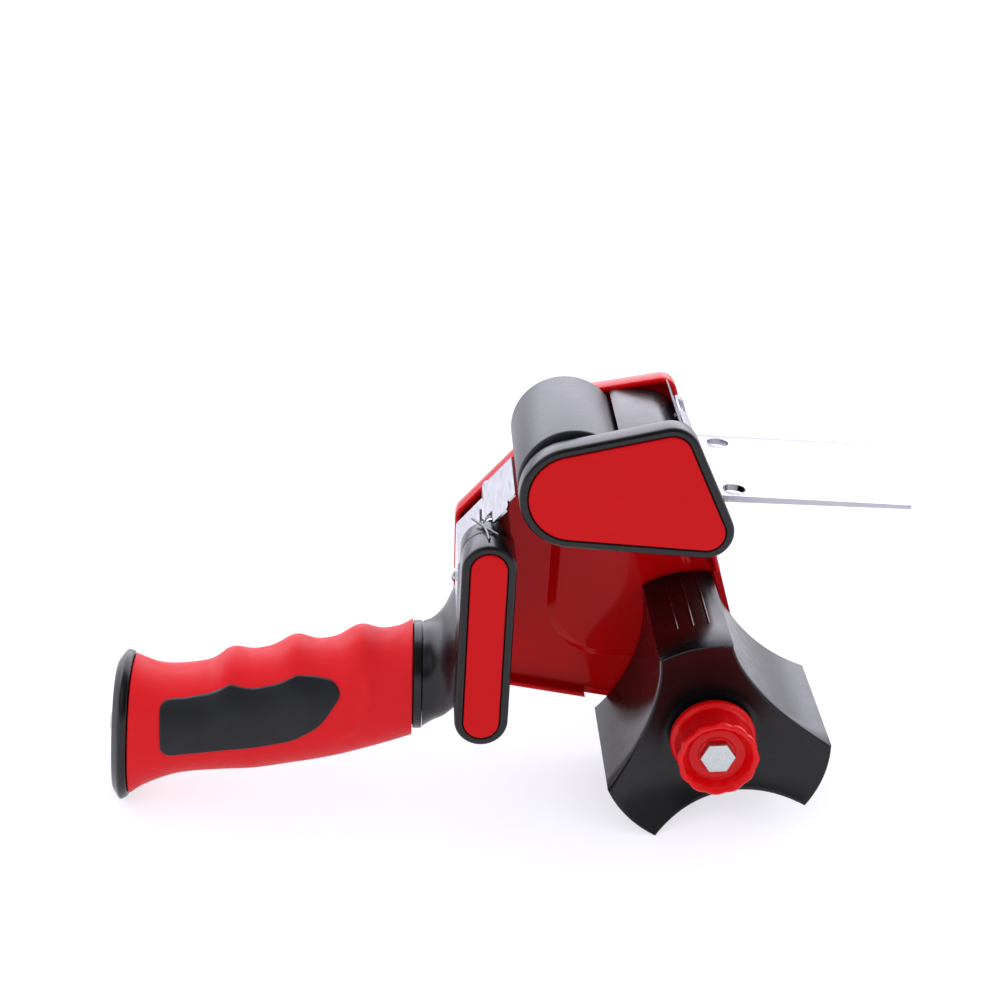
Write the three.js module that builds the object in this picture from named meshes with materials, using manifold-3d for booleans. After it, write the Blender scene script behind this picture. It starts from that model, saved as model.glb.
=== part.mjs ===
// Hand-held packing-tape dispenser: pistol grip, side plate, three-lobed tape hub with a screw brake,
// rubbing roller, toothed blade with a clear guard, and a sprung tape guide.
// Millimetres. X runs from the grip to the nose, Y from the covers to the side plate, Z is up.
// While it is built, the origin is the hub's axis at the hub's front; the group is shifted at the end
// so that the origin is the middle of the bounding box's bottom face.
import * as THREE from "three";
import { mergeVertices } from "three/addons/utils/BufferGeometryUtils.js";
import Module from "manifold-3d";

const wasm = await Module();
wasm.setup();

// Driving dimensions. Circles in the XZ plane are [x, z, radius], anticlockwise seen from the covers.
const GAP = 0.3; // clearance between touching pieces
const TURN = 2 * Math.PI;

const COVER_FRONT = -9; // Y of the covers' outer faces
const COVER_BACK = -2;
const POST_COVER_BACK = 1.8;
const RIM_FRONT = 51; // Y of the side plate's turned rim
const FLOOR_FRONT = 56; // Y of the side plate's floor
const PLATE_BACK = 58;
const BODY_BACK = RIM_FRONT - GAP;
const FOOT_BACK = FLOOR_FRONT - GAP;
const RIM_WALL = 2;
const PLATE_CORNERS = [[0, 0, 16.5], [-18.4, 102.7, 5], [-40.9, 95.4, 8], [-78.2, 56.9, 6], [-76, 4.3, 8]];

const NOSE_CORNERS = [[-50.6, 91, 16.3], [-9.9, 80.2, 8.4], [-22.2, 105.1, 9]];
const HOUSING_CORNERS = [[-31, 82.4, 5], [-15.1, 79.6, 6], [-22.8, 95.5, 8.5], [-33, 99, 5]];
const HOUSING_WALL = 2.6;
const COVER_RIM = 2.6; // black rim left round each red inlay
const INLAY_DEPTH = 1.6;
const INLAY_PROUD = 0.5;

const POST_TOP = [-75, 66.6];
const POST_LOW = [-76.1, 14.4];
const POST_RADIUS = 8.4;
const POST_BODY_RADIUS = 7.6;

const ROLLER = { x: -50, z: 92, radius: 17, coreRadius: 14, axleRadius: 3, front: 0.8, back: 48.6 };
const AXLE_FRONT = -5; // the roller's axle ends blind in the nose cover
const HUB = { radius: 37.5, waist: 22, halfAngle: 18.4, lobeAngle: 103.9, length: 55, dish: 10.4, bore: 9, web: 13 };
const SPINDLE = { radius: 8.6, front: 13.4, socket: 5.4, flare: 50.5 };
const KNOB = { front: -6.8, back: 8, radius: 12.9, drum: 12.4, flange: 14, pocket: 9.4, scallops: 12, scallopDepth: 0.3 };
const BOLT = { shank: 3, acrossFlats: 10, headFront: -5.7, headBack: -3.3, back: 26 };

const END_FACE = { x: -11.6, z: 88.5, tilt: 17.8 }; // where the guard bends, and how far the end face leans
const BLADE = { front: 0.4, back: 50.4, low: 0.5, root: 15.5, tip: 20.5, thickness: 0.9, teeth: 19 };
const GUARD = { front: 0.8, back: 50, thickness: 2.2, plateTop: 14.5, reach: 64, droop: 20.2 };
const BLADE_SCREWS = [9, 41.5]; // Y of each
const BLADE_SCREW_HEIGHT = 8.5;

// The tape guide's leaf and the post's chamfer under it rise at this angle. Distances square to that
// slope are from POST_TOP.
const SLOPE = 48.5;
const CHAMFER = { near: 9.8, far: 41.3, off: 1.2, farOff: -4 };
const GUIDE = { front: 10.2, back: 40.8, thickness: 1, low: 41.2, left: -84.5, off: 2.5, end: 3.2 };
const FLAP = { pinX: -74.01, pinZ: 73.4, pinRadius: 1, front: 10.5, back: 39.5, length: 12.7, notch: 14.3, wing: 5.5 };
const GUIDE_SCREW = { y: 25, z: 49 };

const GRIP_Y = 25; // middle of the grip in depth
const GRIP_RIGHT = -97.6;
const GRIP_LEFT = -189.2;
const GRIP_LEAN = 0.056; // how far the butt end leans
const WAVE_PITCH = 21.2; // finger waves
const WAVE_HEIGHT = 3.1;
const CORE = { halfDepth: 7, halfHeight: 9, z: 11, lean: 0.16 }; // lean in radians
const PAD_PROUD = 0.7;

const PAINT = {
  glossyRed: [0xb80f12, 0.18, 0], red: [0xc8201f, 0.5, 0], black: [0x1a1c20, 0.4, 0],
  rubber: [0x202226, 0.6, 0], steel: [0xc9ccd0, 0.3, 1], zinc: [0xbfc3c6, 0.35, 1], clear: [0xe4ecf2, 0.08, 0],
};

const dispenser = new THREE.Group();

// Solids ---------------------------------------------------------------------------------------

// A closed geometry as a manifold-3d solid.
function solidOf(geometry) {
  const bare = geometry.clone();
  bare.deleteAttribute("normal");
  bare.deleteAttribute("uv");
  const merged = mergeVertices(bare, 1e-3);
  const vertProperties = merged.attributes.position.array;
  const triVerts = new Uint32Array(merged.index.array);
  return new wasm.Manifold(new wasm.Mesh({ numProp: 3, vertProperties, triVerts }));
}

function geometryOf(solid) {
  const mesh = solid.getMesh();
  const geometry = new THREE.BufferGeometry();
  geometry.setAttribute("position", new THREE.BufferAttribute(mesh.vertProperties, 3));
  geometry.setIndex(new THREE.BufferAttribute(mesh.triVerts, 1));
  const flat = geometry.toNonIndexed();
  flat.computeVertexNormals();
  return flat;
}

function cut(geometry, ...tools) {
  return geometryOf(tools.reduce((solid, tool) => solid.subtract(solidOf(tool)), solidOf(geometry)));
}

function join(geometry, ...others) {
  return geometryOf(others.reduce((solid, other) => solid.add(solidOf(other)), solidOf(geometry)));
}

function overlap(geometry, other) {
  return geometryOf(solidOf(geometry).intersect(solidOf(other)));
}

// Outlines and basic bodies --------------------------------------------------------------------

// The outline of a belt stretched anticlockwise round circles [x, z, radius], grown by a margin.
function belt(circles, grow = 0) {
  const leaving = circles.map(([x, z, radius], i) => {
    const [nextX, nextZ, nextRadius] = circles[(i + 1) % circles.length];
    const away = Math.atan2(nextZ - z, nextX - x);
    return away - Math.acos((radius - nextRadius) / Math.hypot(nextX - x, nextZ - z));
  });
  const outline = new THREE.Shape();
  circles.forEach(([x, z, radius], i) => {
    const start = leaving[(i + circles.length - 1) % circles.length];
    let end = leaving[i];
    while (end < start) end += TURN;
    outline.absarc(x, z, radius + grow, start, end, false);
  });
  return outline;
}

// A flat body: an outline in X and Z between two depths.
function slab(outline, front, back, arcSteps = 4) {
  const settings = { depth: back - front, bevelEnabled: false, curveSegments: arcSteps };
  return new THREE.ExtrudeGeometry(outline, settings).rotateX(Math.PI / 2).translate(0, back, 0);
}

// A slab whose front edge is chamfered.
function softSlab(outline, front, back, chamfer, arcSteps = 4) {
  const settings = {
    depth: back - front - chamfer, curveSegments: arcSteps,
    bevelThickness: chamfer, bevelSize: chamfer, bevelOffset: -chamfer, bevelSegments: 1,
  };
  const body = new THREE.ExtrudeGeometry(outline, settings).rotateX(Math.PI / 2).translate(0, back, 0);
  const behind = box([-300, back, -300], [300, back + 2 * chamfer, 300]);
  return cut(body, behind);
}

function box(low, high) {
  const size = high.map((value, i) => value - low[i]);
  const middle = high.map((value, i) => (value + low[i]) / 2);
  return new THREE.BoxGeometry(...size).translate(...middle);
}

// A body turned about an axis along Y, from [radius, y] points that close on themselves or on the axis.
function turned(x, z, profile, steps = 28) {
  const onAxis = profile[0][0] === 0;
  const loop = onAxis ? profile : [...profile, profile[0]];
  let area = 0;
  loop.forEach(([radius, y], i) => {
    const [nextRadius, nextY] = loop[(i + 1) % loop.length];
    area += radius * nextY - nextRadius * y;
  });
  const ordered = area > 0 ? loop : [...loop].reverse();
  return new THREE.LatheGeometry(ordered.map(([radius, y]) => new THREE.Vector2(radius, y)), steps)
    .translate(x, 0, z);
}

function rod(x, z, radius, front, back, steps = 20) {
  return turned(x, z, [[0, front], [radius, front], [radius, back], [0, back]], steps);
}

function tube(x, z, inner, outer, front, back, steps = 28) {
  return turned(x, z, [[inner, front], [outer, front], [outer, back], [inner, back]], steps);
}

// A closed body through rings of points, all with the same number of points, listed along +X.
function loft(rings) {
  const around = rings[0].length;
  const positions = rings.flat();
  const middles = [rings[0], rings[rings.length - 1]].map((ring) =>
    ring.reduce((sum, point) => sum.map((value, k) => value + point[k] / around), [0, 0, 0]));
  positions.push(...middles);
  const indices = [];
  const first = rings.length * around;
  const last = (rings.length - 1) * around;
  for (let j = 0; j < around; j++) {
    const next = (j + 1) % around;
    for (let i = 0; i < rings.length - 1; i++) {
      const [a, b] = [i * around + j, i * around + next];
      indices.push(a, b, b + around, a, b + around, a + around);
    }
    indices.push(first, next, j, first + 1, last + j, last + next);
  }
  const geometry = new THREE.BufferGeometry();
  geometry.setAttribute("position", new THREE.Float32BufferAttribute(positions.flat(), 3));
  geometry.setIndex(indices);
  return geometry.toNonIndexed();
}

// A superellipse ring across X: power 2 is an ellipse, more is squarer.
function ring({ x, y = GRIP_Y, z, halfDepth, halfHeight, power = 2.3, lean = 0 }, steps = 20) {
  return Array.from({ length: steps }, (_, i) => {
    const angle = (i / steps) * TURN;
    const bend = (value) => Math.sign(value) * Math.abs(value) ** (2 / power);
    const up = halfHeight * bend(Math.sin(angle));
    return [x + lean * up, y + halfDepth * bend(Math.cos(angle)), z + up];
  });
}

function add(name, geometry, [color, roughness, metalness], parent = dispenser) {
  const material = new THREE.MeshStandardMaterial({ color, roughness, metalness });
  if (color === PAINT.clear[0]) Object.assign(material, { transparent: true, opacity: 0.35 });
  const mesh = new THREE.Mesh(geometry, material);
  mesh.name = name;
  parent.add(mesh);
}

// Side plate and tape spindle ------------------------------------------------------------------

// Self-tapping screws put in from the plate's far face: [name, x, z, length].
const PLATE_SCREWS = [
  ["post_screw_top", -74.6, 55, 16], ["post_screw_low", ...POST_LOW, 16],
  ["nose_screw_top", -26, 94, 14], ["nose_screw_low", -19, 83, 14], ["spindle_screw", 0, 0, 16],
];
const SCREW = { radius: 1.6, head: 3.4, hole: 2.1 };

function addSidePlate() {
  const outside = slab(belt(PLATE_CORNERS), RIM_FRONT, PLATE_BACK);
  const tray = slab(belt(PLATE_CORNERS, -RIM_WALL), RIM_FRONT - 1, FLOOR_FRONT);
  // The screws' heads are countersunk, and the axle's head is let in, so the far face is flat.
  const holes = PLATE_SCREWS.map(([, x, z]) => turned(x, z, [[0, FLOOR_FRONT - 1], [SCREW.hole, FLOOR_FRONT - 1],
    [SCREW.hole, FLOOR_FRONT + 0.1], [SCREW.head + 0.55, PLATE_BACK], [SCREW.head + 0.55, PLATE_BACK + 1],
    [0, PLATE_BACK + 1]], 14));
  const axleBoss = rod(ROLLER.x, ROLLER.z, 6.5, RIM_FRONT, PLATE_BACK, 24);
  const axleHole = turned(ROLLER.x, ROLLER.z, [[0, RIM_FRONT - 1], [ROLLER.axleRadius + GAP, RIM_FRONT - 1],
    [ROLLER.axleRadius + GAP, PLATE_BACK - 1.6], [5.3, PLATE_BACK - 1.6], [5.3, PLATE_BACK + 1],
    [0, PLATE_BACK + 1]], 20);
  // The rim stops short of the circle that the hub's lobes sweep.
  const sweep = rod(0, 0, HUB.radius + 1.5, RIM_FRONT - 1, FLOOR_FRONT, 64);
  add("side_plate", cut(join(cut(outside, tray), axleBoss), axleHole, sweep, ...holes), PAINT.glossyRed);
}

function addPlateScrews() {
  for (const [name, x, z, length] of PLATE_SCREWS) {
    const face = PLATE_BACK - 0.2;
    const profile = [
      [0, face - length], [SCREW.radius, face - length + 1.5], [SCREW.radius, face - 1.6],
      [SCREW.head, face], [0, face],
    ];
    add(name, turned(x, z, profile, 14), PAINT.zinc);
  }
}

function addSpindle() {
  const profile = [
    [SPINDLE.socket, SPINDLE.front], [SPINDLE.radius, SPINDLE.front], [SPINDLE.radius, SPINDLE.flare],
    [12, SPINDLE.flare + 2.5], [12, FOOT_BACK], [SCREW.hole, FOOT_BACK], [SCREW.hole, 38], [SPINDLE.socket, 38],
  ];
  add("hub_spindle", turned(0, 0, profile), PAINT.black);
}

// Post, neck and handle ------------------------------------------------------------------------

// Moves a geometry from the slope's own frame (X up the slope, Z square to it) to the post's top.
function onSlope(geometry, x = POST_TOP[0], z = POST_TOP[1]) {
  return geometry.rotateY(-THREE.MathUtils.degToRad(SLOPE)).translate(x, 0, z);
}

const postOutline = (radius) => belt([[...POST_LOW, radius], [...POST_TOP, radius]]);

function addPost() {
  // The near end keeps its round top. Behind it the top's left side is chamfered for the tape guide.
  const cheek = slab(postOutline(POST_RADIUS), POST_COVER_BACK + GAP, CHAMFER.near, 6);
  const column = cut(
    slab(postOutline(POST_BODY_RADIUS), POST_COVER_BACK + GAP, BODY_BACK, 6),
    onSlope(box([-30, CHAMFER.near, CHAMFER.off], [30, BODY_BACK + 1, 30])),
    onSlope(box([-30, CHAMFER.far, CHAMFER.farOff], [30, BODY_BACK + 1, 30])));
  const foot = slab(belt([[...POST_LOW, 5], [-74.6, 55, 5]]), BODY_BACK - 1, FOOT_BACK, 6);
  const neck = loft([
    { x: GRIP_RIGHT + 3.4, z: 13, halfDepth: 15.4, halfHeight: 17.2, power: 2.2 },
    { x: -91, z: 15, halfDepth: 15.6, halfHeight: 16.8, power: 2.2 },
    { x: -87.5, z: 18, halfDepth: 18, halfHeight: 16.8, power: 2.4 },
    { x: -84.4, z: 23, halfDepth: 21.6, halfHeight: 16.4, power: 3 },
    { x: -82, z: 27, halfDepth: 22.8, halfHeight: 16, power: 4 },
    { x: -76, z: 27, halfDepth: 22.8, halfHeight: 16, power: 4 },
  ].map((section) => ring(section)));
  const coreSocket = box(
    [GRIP_RIGHT - 5, GRIP_Y - CORE.halfDepth - GAP, CORE.z - CORE.halfHeight - 1],
    [-88, GRIP_Y + CORE.halfDepth + GAP, CORE.z + CORE.halfHeight + 2]);
  const screwHoles = PLATE_SCREWS.slice(0, 2).map(([, x, z]) => rod(x, z, SCREW.hole, 40, 60, 14));
  add("post_body", cut(join(column, cheek, foot, neck), coreSocket, ...screwHoles), PAINT.black);
}

function addCover(name, outline, inlayName, back, holes = []) {
  const shell = softSlab(outline(0), COVER_FRONT, back, 1, 5);
  const pocket = slab(outline(-COVER_RIM), COVER_FRONT - 1, COVER_FRONT + INLAY_DEPTH, 5);
  add(name, cut(shell, pocket, ...holes), PAINT.black);
  const inlay = softSlab(outline(-COVER_RIM - GAP), COVER_FRONT - INLAY_PROUD, COVER_FRONT + INLAY_DEPTH - GAP, 0.5, 5);
  add(inlayName, inlay, PAINT.red);
}

// A height that passes smoothly through [x, height] points, in order of x.
function heightAt(points, x) {
  const i = Math.max(1, points.findIndex(([px]) => px >= x));
  const slope = (k) => {
    const [before, after] = [points[Math.max(k - 1, 0)], points[Math.min(k + 1, points.length - 1)]];
    return (after[1] - before[1]) / (after[0] - before[0]);
  };
  const [[x0, h0], [x1, h1]] = [points[i - 1], points[i]];
  const [width, t] = [x1 - x0, (x - x0) / (x1 - x0)];
  return h0 * (1 + 2 * t) * (1 - t) ** 2 + slope(i - 1) * width * t * (1 - t) ** 2
    + h1 * t * t * (3 - 2 * t) + slope(i) * width * t * t * (t - 1);
}

// The grip's upper line under its finger waves, and its lower line down to the heel.
const GRIP_TOP = [[-192, 18.6], [-180, 13.6], [-165, 14.8], [-147.7, 19.8], [-127, 23.6], [-97, 29.4]];
const GRIP_BOTTOM = [[-192, -33], [-184, -26.6], [-172, -21.8], [-148, -20.2], [-120, -14.8], [-97, -7]];

function gripSection(x, grow = 0) {
  const crest = (0.5 + 0.5 * Math.cos(((x + 157.5) / WAVE_PITCH) * TURN)) ** 1.5;
  const wave = x < -160 ? Math.exp(-(((x + 157.5) / 4.5) ** 2)) : crest;
  const top = heightAt(GRIP_TOP, x) + WAVE_HEIGHT * wave;
  const bottom = heightAt(GRIP_BOTTOM, x);
  const share = (x - GRIP_RIGHT) / (GRIP_LEFT - GRIP_RIGHT);
  return {
    x, z: (top + bottom) / 2, lean: GRIP_LEAN * share, power: 2.3,
    halfHeight: (top - bottom) / 2 + grow, halfDepth: 15.6 + 1.4 * share ** 2 + grow,
  };
}

function gripBody(left, right, grow = 0, steps = 30) {
  const sections = Array.from({ length: steps + 1 }, (_, i) => left + ((right - left) * i) / steps);
  return loft(sections.map((x) => ring(gripSection(x, grow))));
}

function padOutline(grow) {
  return belt([
    [-174.5, -4.5, 4], [-140, 1.5, 5.5], [-123.5, 14.6, 3], [-135, 15.2, 3.4], [-174.5, 5.2, 4],
  ], grow);
}

function addHandle() {
  // The stiff core runs down the grip, leaning as the grip does.
  const bar = (left, right, grow) => box(
    [left - GRIP_RIGHT, GRIP_Y - CORE.halfDepth - grow, -CORE.halfHeight - grow],
    [right - GRIP_RIGHT, GRIP_Y + CORE.halfDepth + grow, CORE.halfHeight + grow],
  ).rotateY(-CORE.lean).translate(GRIP_RIGHT, 0, CORE.z);
  const core = bar(GRIP_LEFT + 2, -90, 0);
  const bore = bar(-230, -60, GAP);
  const buttEdge = GRIP_LEFT;
  const whole = gripBody(buttEdge, GRIP_RIGHT);
  const skin = gripBody(buttEdge - 2, GRIP_RIGHT + 2, -1.2);
  const padPrism = (grow, front, back) => slab(padOutline(grow), front, back, 4);
  const nearPocket = cut(padPrism(GAP, -10, GRIP_Y), skin);
  const farPocket = cut(padPrism(GAP, GRIP_Y, 60), skin);
  add("grip_shell", cut(whole, bore, nearPocket, farPocket), PAINT.red);

  const raised = gripBody(buttEdge - 2, GRIP_RIGHT + 2, PAD_PROUD);
  const seat = gripBody(buttEdge - 2, GRIP_RIGHT + 2, -1.2 + GAP);
  add("grip_pad_near", cut(overlap(raised, padPrism(0, -10, GRIP_Y)), seat), PAINT.rubber);
  add("grip_pad_far", cut(overlap(raised, padPrism(0, GRIP_Y, 60)), seat), PAINT.rubber);

  const collar = loft([[GRIP_RIGHT + GAP, -0.8], [GRIP_RIGHT + 3.1, -0.8]].map(([x, grow]) => {
    const section = gripSection(Math.min(x, -97.1), grow);
    return ring({ ...section, x });
  }));
  add("grip_collar", cut(collar, bore), PAINT.black);

  const capSections = [[-194.6, -3.2], [-193.4, -1.2], [-191.6, 0.2], [GRIP_LEFT - GAP, 0.5]];
  const cap = loft(capSections.map(([x, grow]) => ring({ ...gripSection(Math.max(x, -191.9), grow), x })));
  const screwPlace = (geometry) => geometry.rotateZ(Math.PI / 2).translate(0, GRIP_Y, -6);
  const screwHole = screwPlace(rod(0, 0, 2.6, 150, 200, 16));
  const headPocket = screwPlace(rod(0, 0, 5, 192.4, 200, 16));
  add("butt_cap", cut(cap, screwHole, headPocket), PAINT.black);
  add("handle_core", cut(core, screwHole), PAINT.black);
  const screwProfile = [[0, 165], [2.2, 167], [2.2, 192.7], [4.4, 192.7], [3.6, 194.4], [0, 194.4]];
  add("handle_screw", screwPlace(turned(0, 0, screwProfile, 16)), PAINT.zinc);
}

// Nose: covers, housing and roller -------------------------------------------------------------

function addHousing() {
  const clearance = rod(ROLLER.x, ROLLER.z, ROLLER.radius + 1.3, -20, 80, 40);
  const outside = slab(belt(HOUSING_CORNERS), COVER_BACK + GAP, BODY_BACK);
  const inside = cut(
    slab(belt(HOUSING_CORNERS, -HOUSING_WALL), COVER_BACK + GAP + HOUSING_WALL, BODY_BACK + 5),
    rod(ROLLER.x, ROLLER.z, ROLLER.radius + 1.3 + HOUSING_WALL, -20, 80, 40));
  const plateScrews = PLATE_SCREWS.filter(([name]) => name.startsWith("nose"));
  const bosses = plateScrews.map(([, x, z]) => rod(x, z, 3.8, COVER_BACK + 1, FOOT_BACK, 16));
  const holes = plateScrews.map(([, x, z]) => rod(x, z, SCREW.hole, 42, 60, 14));
  const shell = cut(outside, clearance, inside);
  const bladeHoles = BLADE_SCREWS.map((y) => onEndFace(
    rod(0, 0, 2.3, -8, 1, 14).rotateZ(-Math.PI / 2).translate(0, y, BLADE_SCREW_HEIGHT)));
  add("nose_body", cut(join(shell, ...bosses), ...holes, ...bladeHoles), PAINT.black);
}

function addRoller() {
  const { x, z, radius, coreRadius, axleRadius, front, back } = ROLLER;
  const sleeve = [
    [coreRadius + GAP, front], [radius - 0.6, front], [radius, front + 0.6],
    [radius, back - 0.6], [radius - 0.6, back], [coreRadius + GAP, back],
  ];
  add("roller_sleeve", turned(x, z, sleeve, 48), PAINT.rubber);
  const core = [
    [axleRadius + GAP, front + 0.4], [6, front + 0.4], [6, front + 3], [11.5, front + 3],
    [11.5, front + 0.4], [coreRadius, front + 0.4], [coreRadius, back - 0.4], [axleRadius + GAP, back - 0.4],
  ];
  add("roller_core", turned(x, z, core, 32), PAINT.black);
  const axle = [
    [0, AXLE_FRONT], [axleRadius, AXLE_FRONT], [axleRadius, PLATE_BACK - 1.3],
    [5, PLATE_BACK - 1.3], [5, PLATE_BACK - 0.2], [0, PLATE_BACK - 0.2],
  ];
  add("roller_axle", turned(x, z, axle, 20), PAINT.steel);
}

// Blade end ------------------------------------------------------------------------------------

// Moves a geometry from the end face's own frame (X out of the face, Y depth, Z up it) to its place.
function onEndFace(geometry) {
  return geometry.rotateY(-THREE.MathUtils.degToRad(END_FACE.tilt)).translate(END_FACE.x, 0, END_FACE.z);
}

// A sheet lying on the end face: an outline in depth and height, from one height off the face to another.
function endFaceSheet(outline, low, high) {
  const settings = { depth: high - low, bevelEnabled: false, curveSegments: 8 };
  const sheet = new THREE.ExtrudeGeometry(outline, settings).rotateX(Math.PI / 2).rotateZ(Math.PI / 2);
  return sheet.translate(low, 0, 0);
}

function addBlade() {
  const { front, back, low, root, tip, thickness, teeth } = BLADE;
  const pitch = (back - front) / teeth;
  const outline = new THREE.Shape();
  outline.moveTo(front, low);
  outline.lineTo(back, low);
  for (let i = teeth; i > 0; i--) {
    outline.lineTo(front + i * pitch, root);
    outline.lineTo(front + (i - 0.5) * pitch, tip);
  }
  outline.lineTo(front, root);
  for (const y of BLADE_SCREWS) {
    const hole = new THREE.Path();
    hole.absarc(y, BLADE_SCREW_HEIGHT, 2.3, 0, TURN, true);
    outline.holes.push(hole);
  }
  add("blade", onEndFace(endFaceSheet(outline, GAP, GAP + thickness)), PAINT.steel);

  BLADE_SCREWS.forEach((y, i) => {
    const under = 2 * GAP + thickness;
    const profile = [[0, -6], [1.9, -5], [1.9, under], [4.2, under], [4.1, under + 1.4], [2.8, under + 2.6],
      [0, under + 2.9]];
    const screw = turned(0, 0, profile, 20).rotateZ(-Math.PI / 2).translate(0, y, BLADE_SCREW_HEIGHT);
    add(i ? "blade_screw_far" : "blade_screw_near", onEndFace(screw), PAINT.zinc);
  });
}

function addGuard() {
  const { front, back, thickness, plateTop, reach, droop } = GUARD;
  const slope = THREE.MathUtils.degToRad(droop);
  const inner = 2 * GAP + BLADE.thickness;
  const along = (distance, off) => [
    inner + distance * Math.cos(slope) - off * Math.sin(slope),
    -distance * Math.sin(slope) - off * Math.cos(slope)];
  const corner = along(0, thickness);
  const profile = new THREE.Shape();
  profile.moveTo(inner, plateTop);
  profile.lineTo(inner, -1);
  profile.quadraticCurveTo(inner, corner[1], ...along(2.4, thickness));
  profile.lineTo(...along(reach, thickness * 0.6));
  profile.lineTo(...along(reach, 0));
  profile.lineTo(...along(thickness + 2, 0));
  profile.quadraticCurveTo(inner + thickness, -thickness * Math.tan(slope), inner + thickness, 1.2);
  profile.lineTo(inner + thickness, plateTop - 1.8);
  const bent = slab(profile, front, back, 3);
  const notches = BLADE_SCREWS.map((y) => {
    const notch = new THREE.Shape();
    [[-6.5, -2], [6.5, -2], [5, 14], [-5, 14]].forEach(([dy, z], i) =>
      (i ? notch.lineTo(y + dy, z) : notch.moveTo(y + dy, z)));
    return endFaceSheet(notch, inner - 1, inner + thickness + 0.6);
  });
  const holes = [6.5, 44].map((y) => new THREE.CylinderGeometry(3.5, 3.5, 12, 20).rotateX(Math.PI / 2)
    .rotateY(slope).translate(inner + 10 * Math.cos(slope), y, -10 * Math.sin(slope)));
  add("blade_guard", onEndFace(cut(bent, ...notches, ...holes)), PAINT.clear);
}

// Sprung tape guide ----------------------------------------------------------------------------

function addGuidePlate() {
  const { front, back, thickness, low, left, off, end } = GUIDE;
  const { pinX, pinZ, pinRadius } = FLAP;
  const [cos, sin] = [Math.cos(THREE.MathUtils.degToRad(SLOPE)), Math.sin(THREE.MathUtils.degToRad(SLOPE))];
  const onLine = (along, out) => [POST_TOP[0] + along * cos - out * sin, POST_TOP[1] + along * sin + out * cos];
  const bend = (x, out) => [x, POST_TOP[1] + (out + (x - POST_TOP[0]) * sin) / cos];
  const sheet = new THREE.Shape();
  [[left, low], [left + thickness, low], bend(left + thickness, off - thickness), onLine(end, off - thickness),
    onLine(end, off), bend(left, off)].forEach(([x, z], i) => (i ? sheet.lineTo(x, z) : sheet.moveTo(x, z)));
  const ear = belt([[pinX, pinZ, 2], [...onLine(1.5, off - thickness / 2), thickness / 2]]);
  const ears = [front, back - 1].map((y) => slab(ear, y, y + 1, 5));
  const pinHole = rod(pinX, pinZ, pinRadius + 0.2, front - 1, back + 1, 14);
  const screwHole = rod(0, 0, 1.7, -6, 6, 14).rotateZ(Math.PI / 2).translate(left, GUIDE_SCREW.y, GUIDE_SCREW.z);
  add("guide_plate", cut(join(slab(sheet, front, back), ...ears), pinHole, screwHole), PAINT.steel);
}

function addGuideScrew() {
  const profile = [[0, -1.6], [1.4, -1.5], [2.1, -0.9], [2.2, -GAP], [1.3, -GAP], [1.3, 0.9], [0, 0.9]];
  const screw = turned(0, 0, profile, 16).rotateZ(-Math.PI / 2).translate(GUIDE.left, GUIDE_SCREW.y, GUIDE_SCREW.z);
  add("guide_screw", screw, PAINT.zinc);
}

function addFlap() {
  const { pinX, pinZ, pinRadius, front, back, length, notch, wing } = FLAP;
  const bore = pinRadius + GAP;
  const barrel = rod(0, 0, bore + 0.6, notch, back - GAP, 20);
  const leaf = box([0, notch, 1.2], [length, back, 1.9]);
  const nearSide = box([2.5, front, 1.2], [length, notch + 1, 1.9]);
  const lug = box([2.5, wing, 1.2], [9.2, front + 1, 1.9]);
  const hole = rod(0, 0, bore, 0, 60, 16);
  add("guide_flap", onSlope(cut(join(barrel, leaf, nearSide, lug), hole), pinX, pinZ), PAINT.steel);
  add("flap_pin", rod(pinX, pinZ, pinRadius, CHAMFER.near + 0.2, GUIDE.back + GAP, 14), PAINT.steel);
}

// A coil round the pin with one leg on the flap and one on the post's top.
function addFlapSpring() {
  const { pinX, pinZ, pinRadius } = FLAP;
  add("flap_spring", tube(pinX, pinZ, pinRadius + 0.3, pinRadius + 1, 11.6, 14, 16), PAINT.steel);
}

// Tape hub and its brake -----------------------------------------------------------------------

function hubOutline() {
  const { radius, waist, halfAngle, lobeAngle } = HUB;
  const half = THREE.MathUtils.degToRad(60 - halfAngle);
  // The concave sides are arcs through two lobe corners and the waist between them.
  const centre = (radius ** 2 - waist ** 2) / (2 * (radius * Math.cos(half) - waist));
  const sideRadius = centre - waist;
  const sweep = Math.asin((radius * Math.sin(half)) / sideRadius);
  const outline = new THREE.Shape();
  for (let lobe = 0; lobe < 3; lobe++) {
    const middle = THREE.MathUtils.degToRad(lobeAngle + 120 * lobe);
    const lobeHalf = THREE.MathUtils.degToRad(halfAngle);
    outline.absarc(0, 0, radius, middle - lobeHalf, middle + lobeHalf, false);
    const side = middle + Math.PI / 3;
    const back = side + Math.PI;
    outline.absarc(centre * Math.cos(side), centre * Math.sin(side), sideRadius, back + sweep, back - sweep, true);
  }
  return outline;
}

function addHub() {
  const { radius, length, dish, bore } = HUB;
  const body = slab(hubOutline(), 0, length, 5);
  const dishTool = turned(0, 0, [[0, -1], [radius + 1, -1], [radius + 1, 0], [26, 5], [15, dish], [0, dish]], 36);
  const boreTool = rod(0, 0, bore, HUB.web, length + 1, 28);
  const boltHole = rod(0, 0, 4, -1, HUB.web + 1, 20);
  const backPocket = tube(0, 0, bore + 3, 19, 20, length + 1, 28);
  const footRoom = rod(0, 0, 14, SPINDLE.flare - 1, length + 1, 28);
  add("tape_hub", cut(body, dishTool, boreTool, boltHole, backPocket, footRoom), PAINT.black);
}

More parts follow.
